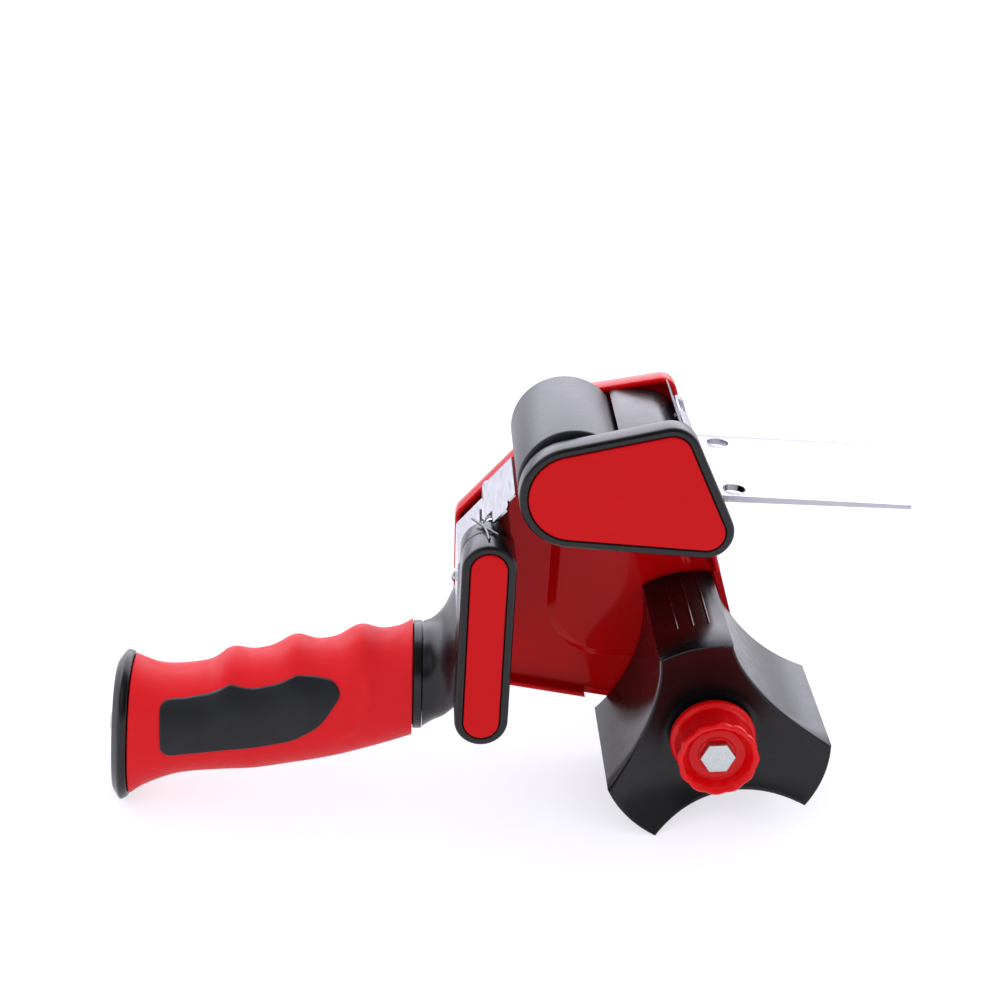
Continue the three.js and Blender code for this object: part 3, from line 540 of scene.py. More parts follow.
column = banded(belt([(*POST_LOW, POST_RADIUS), (*POST_TOP, POST_RADIUS)], 24),
                fillet([(-2, POST_COVER_BACK + 0.3), (0, POST_COVER_BACK + 0.3), (0, 50.7), (-2, 50.7)], 0.4))
cheek = banded(belt([(*POST_LOW, CHEEK_RADIUS), (*POST_TOP, CHEEK_RADIUS)], 28),
               fillet([(-2, POST_COVER_BACK + 0.25), (0, POST_COVER_BACK + 0.25, 0.15), (0, CHEEK_BACK, 0.4),
                       (-2, CHEEK_BACK)], 0.4))
foot = banded(belt([(*POST_LOW, 5.0), (-74.6, 55, 5.0)], 16), [(-1, 50), (0, 50), (0, 55.7), (-1, 55.7)])


def block(low, high, frame_of=None):
    """A box between two corners, in the axes of a frame if one is given."""
    spots = [Vector((x, y, z)) for z in (low[2], high[2]) for y in (low[1], high[1])
             for x in (low[0], high[0])]
    if frame_of:
        spots = [frame_of @ p for p in spots]
    return spots, [(0, 1, 3, 2), (4, 6, 7, 5), (0, 4, 5, 1), (2, 3, 7, 6), (0, 2, 6, 4), (1, 5, 7, 3)]


# Behind the cheek the column's top is planed to a slope for the tape guide, and lower still at its far end.
chamfers = [block((-30, CHEEK_BACK, 1.2), (30, 52, 30), slope_frame),
            block((-30, 41.3, -4), (30, 52, 30), slope_frame)]
cut_column = united("column", [column], chamfers)
post = united("post", [cut_column, cheek, skinned(neck_rings), foot])
finish("post_and_neck", placed(post), satin_black, "frame", ["post_body"], 30)


# Covers and inlays ----------------------------------------------------------------------------------
# Two black snap-on covers close the near ends of the post and the nose. Each holds a matt red plate
# pressed into a pocket, standing half a millimetre proud of the black border.
matt_red = plastic("moulded_abs_matt_red", "B2060A", "B80A0E", 0.5, 0.45, 0.01, shine=0.12, uneven=0.06)
NOSE_CORNERS = [(-50.6, 91, 16.3), (-9.9, 80.2, 8.4), (-22.2, 105.1, 9)]
BORDER, POCKET = 2.6, 1.6


def cover(name, path, node, back):
    profile = fillet([(-3, back), (0, back, 0.3), (0, COVER_FRONT, 1.3), (-BORDER, COVER_FRONT, 0.5),
                      (-BORDER, COVER_FRONT + POCKET, 0.1), (-BORDER - 1, COVER_FRONT + POCKET)], 0.4, 5)
    piece(name, [banded(path, profile)], satin_black, "frame", [node])


def inlay(name, path, node):
    out = -BORDER - 0.25
    profile = fillet([(out - 1, COVER_FRONT + POCKET - 0.2), (out, COVER_FRONT + POCKET - 0.2, 0.1),
                      (out, COVER_FRONT - 0.5, 0.7), (out - 2, COVER_FRONT - 0.5)], 0.3, 5)
    piece(name, [banded(path, profile)], matt_red, "frame", [node])


post_path = belt([(*POST_LOW, 8.4), (*POST_TOP, 8.4)], 28)
nose_path = belt(NOSE_CORNERS, 28)
cover("post_cover_shell", post_path, "post_cover", POST_COVER_BACK)
inlay("post_inlay_plate", post_path, "post_inlay")
cover("nose_cover_shell", nose_path, "nose_cover", COVER_BACK)
inlay("nose_inlay_plate", nose_path, "nose_inlay")


# Handle ---------------------------------------------------------------------------------------------
# A soft red grip over a stiff core, with finger waves on top, a black pad let into each side, and a
# black collar and butt cap. The grip is moulded thermoplastic rubber: satin, slightly hazy, fine-grained.
soft_red = plastic("moulded_rubber_red", "C00C14", "C81018", 0.48, 0.7, 0.006, shine=0.16, sheen=0.02)
soft_black = plastic("moulded_rubber_black", "101216", "16181D", 0.5, 0.5, 0.006, shine=0.3, sheen=0.04)
GRIP_LEFT, GRIP_RIGHT = -189.2, -97.6
GRIP_LEAN, SQUARENESS = 0.056, 2.3
WAVE_PITCH, WAVE_HEIGHT, FIRST_WAVE = 21.2, 3.1, -157.5
# The grip's top, under its waves, and its bottom, as x and z.
GRIP_TOP = [(-192, 18.6), (-180, 13.6), (-165, 14.8), (-147.7, 19.8), (-127, 23.6), (-97, 29.4)]
GRIP_BOTTOM = [(-192, -33), (-184, -26.6), (-172, -21.8), (-148, -20.2), (-120, -14.8), (-97, -7)]


def grip_section(x):
    """Middle height, half depth, half height and lean of the grip at x."""
    if x < -160:
        wave = exp(-(((x - FIRST_WAVE) / 4.5) ** 2))
    else:
        wave = (0.5 + 0.5 * cos((x - FIRST_WAVE) / WAVE_PITCH * 2 * pi)) ** 1.5
    top = eased(GRIP_TOP, x)[0] + WAVE_HEIGHT * wave
    bottom = eased(GRIP_BOTTOM, x)[0]
    share = (x - GRIP_RIGHT) / (GRIP_LEFT - GRIP_RIGHT)
    return (top + bottom) / 2, 15.6 + 1.4 * share ** 2, (top - bottom) / 2, GRIP_LEAN * share


def swell(x, z):
    """How far the flank stands out in the soft fold that runs round the pad's right end."""
    away = hypot(x + 128, z - 13)
    fade = max(0.0, min(1.0, (x + 126) / 8)) * max(0.0, min(1.0, (22 - z) / 6))
    return 0.55 * fade * (exp(-(((away - 16.6) / 1.7) ** 2)) - 0.5 * exp(-(((away - 13.2) / 1.7) ** 2)))


def grip_ring(x, section_x, grow):
    """A ring at x, as wide as the grip is at section_x and larger by grow."""
    z, half_depth, half_height, lean = grip_section(section_x)
    ring = superellipse(x, GRIP_MIDDLE, z, half_depth + grow, half_height + grow, SQUARENESS, lean, 112)
    return [(px, py + swell(px, pz) * max(-1.0, min(1.0, (py - GRIP_MIDDLE) / 9)), pz) for px, py, pz in ring]


left_end = fillet([(GRIP_LEFT, -1.5), (GRIP_LEFT, 0, 0.5), (GRIP_LEFT + 3, 0)], 0.5)
grip_rings = [grip_ring(x, x, grow) for x, grow in left_end[:-1]]
stations = [GRIP_LEFT + 1 + (GRIP_RIGHT - GRIP_LEFT - 2) * i / 150 for i in range(151)]
grip_rings += [grip_ring(x, x, 0) for x in stations]
right_end = fillet([(GRIP_RIGHT - 0.9, 0), (GRIP_RIGHT, 0, 0.5), (GRIP_RIGHT, -1.5),
                    (GRIP_RIGHT - 0.8, -1.5)], 0.2)
grip_rings += [grip_ring(x, x, grow) for x, grow in right_end[1:]]
piece("grip_sleeve", [skinned(grip_rings)], soft_red, "frame", ["grip_shell", "handle_core"], 50)

PAD_OUTLINE = [(-178.5, -9.2, 3.0), (-150, -6.4, 20), (-136, -3.8, 14), (-127, 2.0, 16), (-120.2, 13.2, 4),
               (-122.5, 17.4, 4), (-134.5, 18.8, 2.0), (-141.5, 15.4, 12), (-149, 13.4, 12), (-156, 15.0, 2.0),
               (-163, 11.3, 12), (-170, 9.8, 12), (-178.5, 9.0, 3.0)]


def pad_shell(side):
    """A pad that follows the grip's flank: a crowned outer face, a rounded edge and a hidden back."""
    outline = [Vector(p) for p in fillet(PAD_OUTLINE, 3, 5, closed=True)]
    dense = []
    for i, p in enumerate(outline):
        q = outline[(i + 1) % len(outline)]
        cuts = max(1, round((q - p).length / 1.5))
        dense += [p.lerp(q, k / cuts) for k in range(cuts)]
    middle = Vector((-150, 4))

    def flank(x, z, proud):
        mid, half_depth, half_height, _ = grip_section(x)
        u = min(abs((z - mid) / half_height), 0.98)
        return (x, GRIP_MIDDLE + side * (half_depth * (1 - u ** SQUARENESS) ** (1 / SQUARENESS) + proud), z)

    # How far out from the middle each ring lies, and how far it stands proud of the grip.
    layers = [(0.0, -1.0), (0.2, -1.0), (0.5, -1.0), (0.8, -1.0), (0.97, -1.0), (1.0, -0.9), (1.0, 0.25),
              (0.995, 0.5), (0.985, 0.66), (0.965, 0.7)]
    layers += [(1 - 0.035 - 0.965 * k / 22, 0.7) for k in range(1, 23)]
    rings = [[flank(*(middle + (p - middle) * share), proud) for p in dense] for share, proud in layers]
    return skinned(rings, False, False)


piece("grip_pad_near_face", [pad_shell(-1)], soft_black, "frame", ["grip_pad_near"], 50)
piece("grip_pad_far_face", [pad_shell(1)], soft_black, "frame", ["grip_pad_far"], 50)

collar = fillet([(GRIP_RIGHT - 0.4, -2), (GRIP_RIGHT + 0.2, -2), (GRIP_RIGHT + 0.2, -0.8),
                 (GRIP_RIGHT + 3.1, -0.8), (GRIP_RIGHT + 3.1, -3)], 0.4)
z, half_depth, half_height, _ = grip_section(GRIP_RIGHT + 0.2)
collar_rings = [superellipse(x, GRIP_MIDDLE, z + 0.7, half_depth + grow, half_height - 0.7 + grow)
                for x, grow in collar]
piece("grip_collar_ring", [skinned(collar_rings)], satin_black, "frame", ["grip_collar"], 50)
cap = fillet([(-194.7, -12), (-194.7, -3.4, 2.5), (-192.0, 0.3, 3), (GRIP_LEFT - 0.3, 0.5, 0.5),
              (GRIP_LEFT - 0.3, -4)], 0.5, 6)
piece("butt_cap_shell", [skinned([grip_ring(x, max(x, -191.9), grow) for x, grow in cap])],
      satin_black, "frame", ["butt_cap"], 50)
end_screw = loose_mesh("end_screw", [screw_head(4.3, 1.9)])
end_screws = copies("handle_end_screw", end_screw, [(-194.5, GRIP_MIDDLE, -6)], (0, 0, -pi / 2), zinc)
finish("handle_end_screw", end_screws, zinc, "frame", ["handle_screw"])


# Nose housing ---------------------------------------------------------------------------------------
# The black shell between the near cover and the side plate. It curves round the roller on one side, has
# a flat top and a rounded corner, and its end face carries the blade.
HOUSING_CORNERS = [(-31, 82.4, 5), (-15.1, 79.6, 6), (-22.8, 95.5, 8.5), (-33, 99, 5)]
outside = banded(belt(HOUSING_CORNERS, 16), fillet([(-2, -1.7), (0, -1.7), (0, 50.7), (-2, 50.7)], 0.4))
THROAT = ROLLER_RADIUS + 1.3
throat = turned([(0, -20), (THROAT, -20), (THROAT, 80), (0, 80)], ROLLER_X, ROLLER_Z, 96)
feet = [turned([(0, 49), (3.8, 49), (3.8, 55.7), (0, 55.7)], x, z, 32)
        for x, z in (PLATE_SCREWS["nose_screw_top"], PLATE_SCREWS["nose_screw_low"])]
housing = united("housing", [outside, *feet], [throat])
finish("nose_housing", placed(housing), satin_black, "frame", ["nose_body"], 30)


# Roller ---------------------------------------------------------------------------------------------
# A soft black rubber sleeve, ground true on its outside, on a moulded core that turns on a steel pin.
# The ground skin has very fine lines round it, and reflects as a broad soft band.
ground_rubber, tree = blank_material("ground_rubber_black")
spot = add(tree, "ShaderNodeTexCoord").outputs["Object"]
lines = add(tree, "ShaderNodeMapping", {"Vector": spot, "Scale": (0.12, 1.0, 0.12)})
grind = add(tree, "ShaderNodeTexNoise", {"Vector": lines.outputs[0], "Scale": 1 / (0.5 * MM), "Detail": 3.0})
dust = add(tree, "ShaderNodeTexNoise", {"Vector": spot, "Scale": 1 / (9 * MM), "Detail": 4.0})
tone = add(tree, "ShaderNodeMix", {"Factor": dust.outputs["Fac"], 6: linear("17181B"), 7: linear("222327")},
           data_type="RGBA")
polish = add(tree, "ShaderNodeMapRange", {"Value": grind.outputs["Fac"], "To Min": 0.3, "To Max": 0.46})
bump = add(tree, "ShaderNodeBump", {"Height": grind.outputs["Fac"], "Distance": 0.012 * MM, "Strength": 1.0})
shader = add(tree, "ShaderNodeBsdfPrincipled", {"Base Color": tone.outputs[2], "Roughness": polish.outputs[0],
                                                "Normal": bump.outputs[0], "IOR": 1.52})
add(tree, "ShaderNodeOutputMaterial", {"Surface": shader.outputs[0]})

ROLLER_FRONT, ROLLER_BACK, CORE_RADIUS = 0.8, 48.6, 14
sleeve = fillet([(CORE_RADIUS + 0.3, ROLLER_FRONT), (ROLLER_RADIUS, ROLLER_FRONT, 0.8),
                 (ROLLER_RADIUS, ROLLER_BACK, 0.8), (CORE_RADIUS + 0.3, ROLLER_BACK)], 0.8, 5)
piece("roller_tyre", [turned(sleeve, ROLLER_X, ROLLER_Z, 128)], ground_rubber, "roller", ["roller_sleeve"])
# The core's ends lie a little inside the sleeve's, and are hollow between its hub and its rim.
CORE_FRONT, CORE_BACK, WEB_IN = ROLLER_FRONT + 0.4, ROLLER_BACK - 0.4, 5
CORE_BORE, CORE_HUB, CORE_RIM = 3.3, 6, 11.8
spool = fillet([(CORE_BORE, CORE_FRONT), (CORE_HUB, CORE_FRONT), (CORE_HUB, ROLLER_FRONT + WEB_IN),
                (CORE_RIM, ROLLER_FRONT + WEB_IN), (CORE_RIM, CORE_FRONT), (CORE_RADIUS, CORE_FRONT),
                (CORE_RADIUS, CORE_BACK), (CORE_RIM, CORE_BACK), (CORE_RIM, ROLLER_BACK - WEB_IN),
                (CORE_HUB, ROLLER_BACK - WEB_IN), (CORE_HUB, CORE_BACK), (CORE_BORE, CORE_BACK)], 0.4, 3)
piece("roller_spool", [turned(spool, ROLLER_X, ROLLER_Z, 64)], satin_black, "roller", ["roller_core"])
# Cold-drawn bright steel, polished: sharp reflections with faint lines along the drawing direction.
bright_steel = metal("cold_rolled_bright_steel", "C2C2C8", "B8B9C0", 0.2, 0.6, 0.001, along=(1.0, 0.08, 1.0),
                     size=9.0)
pin = fillet([(0, -5), (3, -5), (3, 56.7, 0.1), (5, 56.7), (5, 57.8), (0, 57.8)], 0.4)
piece("roller_pin", [turned(pin, ROLLER_X, ROLLER_Z, 48)], bright_steel, "frame", ["roller_axle"])


# Blade ----------------------------------------------------------------------------------------------
# A stamped strip of bright steel with a row of long sharp teeth, held flat on the nose's end face by two
# screws with flat heads. Its teeth stand clear of the housing's rounded corner.
END_X, END_Z, END_TILT = -11.6, 88.5, radians(17.8)
BLADE_FRONT, BLADE_BACK, BLADE_LOW, TOOTH_ROOT, TOOTH_TIP, TEETH = 0.4, 50.4, 0.5, 15.5, 20.5, 19
BLADE_OFF, BLADE_THICK, GROUND_AWAY = 0.3, 0.9, 0.55
BLADE_SCREWS, BLADE_SCREW_HEIGHT = (9, 41.5), 8.5
end_face = Matrix.Translation((END_X, 0, END_Z)) @ Matrix.Rotation(-END_TILT, 4, "Y")


def on_end_face(mesh):
    """Takes a mesh from the end face's own axes (X out of it, Y depth, Z up it), in mm, to its place."""
    mesh.transform(end_face)
    return placed(mesh)


def prism(outline, low, high):
    """A flat shell: an outline in (depth, height) between two distances off the end face."""
    return skinned([[(x, y, z) for y, z in outline] for x in (low, high)])


pitch = (BLADE_BACK - BLADE_FRONT) / TEETH
tooth_height = TOOTH_TIP - TOOTH_ROOT
half_tooth = pitch / 2 - 0.06
# One tooth: hollow-ground flanks, so it narrows fast from its root to a needle point, and a ground face.
flank_points = [(half_tooth * (1 - (k / 6)) ** 1.35, tooth_height * k / 6) for k in range(7)]
tooth_outline = flank_points + [(-w, h) for w, h in reversed(flank_points[:-1])]
tooth_back = [(BLADE_OFF, w, h) for w, h in tooth_outline]
tooth_face = [(BLADE_OFF + BLADE_THICK - GROUND_AWAY * h / tooth_height, w, h) for w, h in tooth_outline]
tooth = loose_mesh("blade_tooth", [skinned([tooth_back, tooth_face])])
tree, given = node_tree("blade_teeth", Tooth="Object", Teeth="Int", Start="Vector", Step="Vector")
shape = add(tree, "GeometryNodeObjectInfo", {"Object": given.outputs["Tooth"]})
row = add(tree, "GeometryNodeMeshLine", {
    "Count": given.outputs["Teeth"], "Start Location": given.outputs["Start"], "Offset": given.outputs["Step"]})
spread = add(tree, "GeometryNodeInstanceOnPoints", {
    "Points": row.outputs[0], "Instance": shape.outputs["Geometry"]})
give_out(tree, spread.outputs[0], bright_steel)
tooth_object = bpy.data.objects.new("blade_tooth", tooth)
scene.collection.objects.link(tooth_object)
teeth = made_by(tree, "blade_teeth", {
    "Tooth": tooth_object, "Teeth": TEETH, "Start": (0, BLADE_FRONT + pitch / 2, TOOTH_ROOT - 0.02),
    "Step": (0, pitch, 0)})
bpy.data.objects.remove(tooth_object)
finish("blade_teeth", on_end_face(teeth), bright_steel, "frame", (), 20)

strip_outline = fillet([(BLADE_FRONT, BLADE_LOW), (BLADE_BACK, BLADE_LOW), (BLADE_BACK, TOOTH_ROOT),
                        (BLADE_FRONT, TOOTH_ROOT)], 0.3, 3, True)
strip = loose_mesh("blade_strip", [prism(strip_outline, BLADE_OFF, BLADE_OFF + BLADE_THICK)])
finish("blade_strip", on_end_face(strip), bright_steel, "frame", ["blade"])

blade_screw = loose_mesh("blade_screw", [screw_head(4.2, 2.7, "flush")])
places = [end_face @ Vector((BLADE_OFF + BLADE_THICK + 0.3, y, BLADE_SCREW_HEIGHT)) for y in BLADE_SCREWS]
screws = copies("blade_screws", blade_screw, places, (0, -END_TILT, pi / 2), zinc)
finish("blade_screws", screws, zinc, "frame", ["blade_screw_near", "blade_screw_far"])


# Blade guard ----------------------------------------------------------------------------------------
# One piece of clear polycarbonate, bent to an angle: a short leg lies over the blade, notched for the
# screws and bevelled just behind the teeth, and a long leg stands out past the blade to shield the hand.
clear, tree = blank_material("clear_polycarbonate")
spot = add(tree, "ShaderNodeTexCoord").outputs["Object"]
smear = add(tree, "ShaderNodeTexNoise", {"Vector": spot, "Scale": 1 / (12 * MM), "Detail": 5.0})
ripple = add(tree, "ShaderNodeTexNoise", {"Vector": spot, "Scale": 1 / (7 * MM), "Detail": 1.0})
haze = add(tree, "ShaderNodeMapRange", {"Value": smear.outputs["Fac"], "From Min": 0.35, "From Max": 0.75,
                                        "To Min": 0.02, "To Max": 0.1})
bump = add(tree, "ShaderNodeBump", {"Height": ripple.outputs["Fac"], "Distance": 0.03 * MM, "Strength": 1.0})
shader = add(tree, "ShaderNodeBsdfPrincipled", {
    "Base Color": linear("C0BECA"), "Roughness": haze.outputs[0], "Normal": bump.outputs[0], "IOR": 1.585,
    "Specular IOR Level": 0.3, "Transmission Weight": 1.0})
# The sheet's sawn side edges are frosted.
facing = add(tree, "ShaderNodeSeparateXYZ", {0: add(tree, "ShaderNodeTexCoord").outputs["Normal"]})
sideways = add(tree, "ShaderNodeMath", {0: facing.outputs["Y"]}, operation="ABSOLUTE")
frosted = add(tree, "ShaderNodeMapRange", {"Value": sideways.outputs[0], "From Min": 0.85, "From Max": 0.95,
                                           "To Min": 0.0, "To Max": 0.8})
frost = add(tree, "ShaderNodeBsdfDiffuse", {"Color": linear("C8C6CC"), "Roughness": 0.5})
sheet_skin = add(tree, "ShaderNodeMixShader", {0: frosted.outputs[0], 1: shader.outputs[0], 2: frost.outputs[0]})
add(tree, "ShaderNodeOutputMaterial", {"Surface": sheet_skin.outputs[0]})

GUARD_FRONT, GUARD_BACK, GUARD_THICK = 0.8, 50.0, 2.2
GUARD_TOP, GUARD_REACH, GUARD_DROOP = 14.5, 64.0, radians(20.2)
inner = BLADE_OFF + BLADE_THICK + 0.3


def along_leg(distance, off):
    """A point on the long leg: how far along it, and how far below its upper face."""
    return (inner + distance * cos(GUARD_DROOP) - off * sin(GUARD_DROOP),
            -distance * sin(GUARD_DROOP) - off * cos(GUARD_DROOP))


section = fillet([(inner, GUARD_TOP, 0.15), (*along_leg(-0.2, GUARD_THICK), 2.6),
                  (*along_leg(GUARD_REACH, 1.3), 0.3), (*along_leg(GUARD_REACH, 0.0), 0.3),
                  (inner + GUARD_THICK, -GUARD_THICK * tan(GUARD_DROOP), 1.6),
                  (inner + GUARD_THICK, GUARD_TOP - 1.8, 0.15)], 0.3, 5, closed=True)
bar = skinned([[(x, y, z) for x, z in section] for y in (GUARD_FRONT, GUARD_BACK)])
notches = [prism([(y - 6.5, -1.2), (y + 6.5, -1.2), (y + 5, 14), (y - 5, 14)],
                 inner - 1, inner + GUARD_THICK + 0.6) for y in BLADE_SCREWS]
HOLES, HOLE_RADIUS, HOLE_ALONG = (6.5, 44), 3.5, 10
upright = Matrix.Rotation(GUARD_DROOP, 4, "Y") @ Matrix.Rotation(pi / 2, 4, "X")
holes = []
for y in HOLES:
    points, faces = turned([(0, -8), (HOLE_RADIUS, -8), (HOLE_RADIUS, 8), (0, 8)], steps=40)
    x, z = along_leg(HOLE_ALONG, 0)
    move = Matrix.Translation((x, y, z)) @ upright
    holes.append(([move @ Vector(p) for p in points], faces))
guard = united("guard", [bar], notches + holes)
finish("blade_guard_clear", on_end_face(guard), clear, "frame", ["blade_guard"], 25)


# Tape guide -----------------------------------------------------------------------------------------
# A bent plate of bright steel, screwed to the post's left face and laid up the chamfer at its top. Two
# ears carry the pin of a sprung flap, which holds the tape's end by the roller and stops it running back.
PIN_X, PIN_Z, PIN_RADIUS = -74.01, 73.4, 1.0
PLATE_NEAR, PLATE_FAR, PLATE_LOW, PLATE_LEFT = 10.2, 40.8, 41.2, -84.1
PLATE_OFF, PLATE_END, PLATE_THICK = 2.4, 3.2, 0.6


def on_slope(along, out):
    """A point from its place up the post's slope and its distance off it."""
    spot = slope_frame @ Vector((along, 0, out))
    return spot.x, spot.z


def bend_at(x, out):
    """Where the line at a distance from the slope crosses x."""
    base = on_slope(0, out)
    return x, base[1] + (x - base[0]) * tan(SLOPE)


sheet = fillet([(PLATE_LEFT, PLATE_LOW), (PLATE_LEFT + PLATE_THICK, PLATE_LOW),
                (*bend_at(PLATE_LEFT + PLATE_THICK, PLATE_OFF - PLATE_THICK), 1.2),
                on_slope(PLATE_END, PLATE_OFF - PLATE_THICK), on_slope(PLATE_END, PLATE_OFF),
                (*bend_at(PLATE_LEFT, PLATE_OFF), 1.8)], 0.1, 5, closed=True)
guide = skinned([[(x, y, z) for x, z in sheet] for y in (PLATE_NEAR, PLATE_FAR)])
ear_path = belt([(PIN_X, PIN_Z, 2.0), (*on_slope(1.5, PLATE_OFF - 0.5), 0.5)], 16)
ears = [banded(ear_path, fillet([(-0.3, y), (0, y), (0, y + 1), (-0.3, y + 1)], 0.15))
        for y in (PLATE_NEAR, PLATE_FAR - 1)]
piece("tape_guide_plate", [guide, *ears], bright_steel, "frame", ["guide_plate"])
hinge_pin = fillet([(0, 10.0), (PIN_RADIUS, 10.0), (PIN_RADIUS, 41.1), (0, 41.1)], 0.3)
piece("flap_hinge_pin", [turned(hinge_pin, PIN_X, PIN_Z, 24)], bright_steel, "frame", ["flap_pin"])
guide_screw = loose_mesh("guide_screw", [screw_head(2.2, 1.3)])
screws = copies("guide_screw", guide_screw, [(PLATE_LEFT - 0.25, 25, 49)], (0, 0, -pi / 2), zinc)
finish("guide_screw_head", screws, zinc, "frame", ["guide_screw"])

FLAP_LENGTH, FLAP_LOW, FLAP_HIGH = 12.7, 1.2, 1.9
# The flap's plan, as distance up the slope and depth. A tongue stands out at its near side, and a notch
# below the tongue leaves room for the spring.
flap_outline = fillet([(9.2, 10.5, 0.4), (9.2, 7.2, 0.3), (8.4, 5.5, 0.4), (2.5, 5.5, 0.5), (2.5, 14.3, 0.2),
                       (0.0, 14.3, 0.1), (0.0, 39.5, 0.1), (FLAP_LENGTH, 39.5, 0.5), (FLAP_LENGTH, 10.5, 0.5)],
                      0.3, 4, closed=True)
leaf = skinned([[(x, y, z) for x, y in flap_outline] for z in (FLAP_LOW, FLAP_HIGH)])
KNUCKLE_IN, KNUCKLE_OUT = PIN_RADIUS + 0.3, PIN_RADIUS + 0.9
knuckle = turned([(KNUCKLE_IN, 14.3), (KNUCKLE_OUT, 14.3), (KNUCKLE_OUT, 39.2), (KNUCKLE_IN, 39.2)], steps=32)
flap = loose_mesh("flap", [leaf, knuckle])
flap.transform(Matrix.Translation((PIN_X, 0, PIN_Z)) @ Matrix.Rotation(-SLOPE, 4, "Y"))
finish("tape_guide_flap", placed(flap), bright_steel, "guide_flap", ["guide_flap"])

# The flap's torsion spring: dark music wire, coiled on the pin, with two legs that cross in front.
wire = metal("music_wire_dark", "6E6F70", "58595A", 0.3, 0.4, 0.003, size=1.0)
tree, given = node_tree("coil", Turns="Float", Radius="Float", Length="Float", Wire="Float", Smoothness="Int")
spiral = add(tree, "GeometryNodeCurveSpiral", {
    "Resolution": given.outputs["Smoothness"], "Rotations": given.outputs["Turns"],
    "Start Radius": given.outputs["Radius"], "End Radius": given.outputs["Radius"],
    "Height": given.outputs["Length"]})
wire_section = add(tree, "GeometryNodeCurvePrimitiveCircle", {
    "Resolution": 10, "Radius": given.outputs["Wire"]})
swept = add(tree, "GeometryNodeCurveToMesh", {
    "Curve": spiral.outputs[0], "Profile Curve": wire_section.outputs[0], "Fill Caps": True})
give_out(tree, swept.outputs[0], wire)
coil_tree = tree


def coil(name, turns, radius, length, thickness, x, y, z, material, body, node):
    """A coil spring on an axis along Y, from a point in mm."""
    mesh = made_by(coil_tree, name, {"Turns": turns, "Radius": radius, "Length": length, "Wire": thickness / 2,
                                     "Smoothness": 24})
    mesh.transform(Matrix.Translation((x, y, z)) @ Matrix.Rotation(-pi / 2, 4, "X"))
    return finish(name, placed(mesh), material, body, [node], 60)


coil("flap_spring_coil", 3.5, 1.65, 1.8, 0.6, PIN_X, 11.9, PIN_Z, wire, "frame", "flap_spring")


def leg(points, radius):
    """A straight or bent wire through points in mm."""
    rings, steps = [], 10
    for i, p in enumerate(points):
        way = (Vector(points[min(i + 1, len(points) - 1)]) - Vector(points[max(i - 1, 0)])).normalized()
        side = way.cross(Vector((0, 1, 0.1))).normalized()
        up = side.cross(way)
        angles = [2 * pi * k / steps for k in range(steps)]
        rings.append([Vector(p) + side * radius * cos(angle) + up * radius * sin(angle) for angle in angles])
    return skinned(rings)


legs = [leg([(PIN_X - 6.0, 10.0, PIN_Z + 2.3), (PIN_X - 2.2, 3.2, PIN_Z + 2.4),
             (PIN_X + 1.6, -0.6, PIN_Z + 1.8)], 0.45),
        leg([(PIN_X - 3.5, 10.2, PIN_Z + 5.3), (PIN_X - 3.4, 7.5, PIN_Z + 2.5),
             (PIN_X - 1.7, 0.6, PIN_Z + 2.3), (PIN_X - 1.1, -4.6, PIN_Z + 2.1)], 0.4),
        leg([(PIN_X - 1.7, 12.2, PIN_Z + 0.2), (PIN_X - 3.4, 8.2, PIN_Z + 3.0)], 0.3)]
piece("flap_spring_legs", legs, wire, "frame", ())


# Tape hub -------------------------------------------------------------------------------------------
# A three-lobed black hub that the tape's card core pushes on to. Its front is dished, and each lobe's
# outer face has a smooth lead-in and then a shallow recess with three thin ribs that grip the core.
LOBE_HALF, LOBE_ANGLE, DISH = 18.4, 103.9, 10.4
LEAD_IN, RECESS, EDGE = 15.0, 0.25, 0.8


def hub_outline():
    """The hub's outline, as points with a flag that says whether each sinks as a recess."""
    half = radians(60 - LOBE_HALF)
    middle = (HUB_RADIUS ** 2 - HUB_WAIST ** 2) / (2 * (HUB_RADIUS * cos(half) - HUB_WAIST))
    side_radius = middle - HUB_WAIST
    spread = asin(HUB_RADIUS * sin(half) / side_radius)
    path = []
    for lobe in range(3):
        lobe_middle = radians(LOBE_ANGLE + 120 * lobe)
        # The recess spans the middle of a lobe, and 17.4 degrees is the end of its border.
        for k in [-LOBE_HALF, -17.4] + [-15 + 2 * j for j in range(16)] + [17.4, LOBE_HALF]:
            angle = lobe_middle + radians(k)
            path.append((HUB_RADIUS * cos(angle), HUB_RADIUS * sin(angle), abs(k) < 16))
        side = lobe_middle + pi / 3
        for k in range(1, 28):
            angle = side + pi + spread - 2 * spread * k / 28
            path.append((middle * cos(side) + side_radius * cos(angle),
                         middle * sin(side) + side_radius * sin(angle), False))
    return path


outline = hub_outline()
count = len(outline)
HUB_HOLE = 4.2
outward = []
for i, (x, z, _) in enumerate(outline):
    before, after = Vector(outline[i - 1][:2]), Vector(outline[(i + 1) % count][:2])
    here = Vector((x, z))
    a, b = (here - before).normalized(), (after - here).normalized()
    normal = Vector((a.y + b.y, -a.x - b.x)).normalized()
    outward.append(normal / max(normal.dot(Vector((a.y, -a.x))), 0.5))


def dish_depth(radius):
    """How far the front lies behind the hub's front plane at a radius."""
    share = min(radius / HUB_RADIUS, 1.0)
    return min(DISH, 1.17 * DISH * (1 - share ** 2.2))


def hub_ring(share, inset, offset):
    """A ring between the centre hole and the outline, at the dished front plus an offset in depth."""
    ring = []
    for (x, z, _), normal in zip(outline, outward):
        edge = Vector((x, z)) - normal * inset
        rim = edge.normalized() * HUB_HOLE
        spot = rim.lerp(edge, share)
        ring.append((spot.x, dish_depth(spot.length) + offset, spot.y))
    return ring


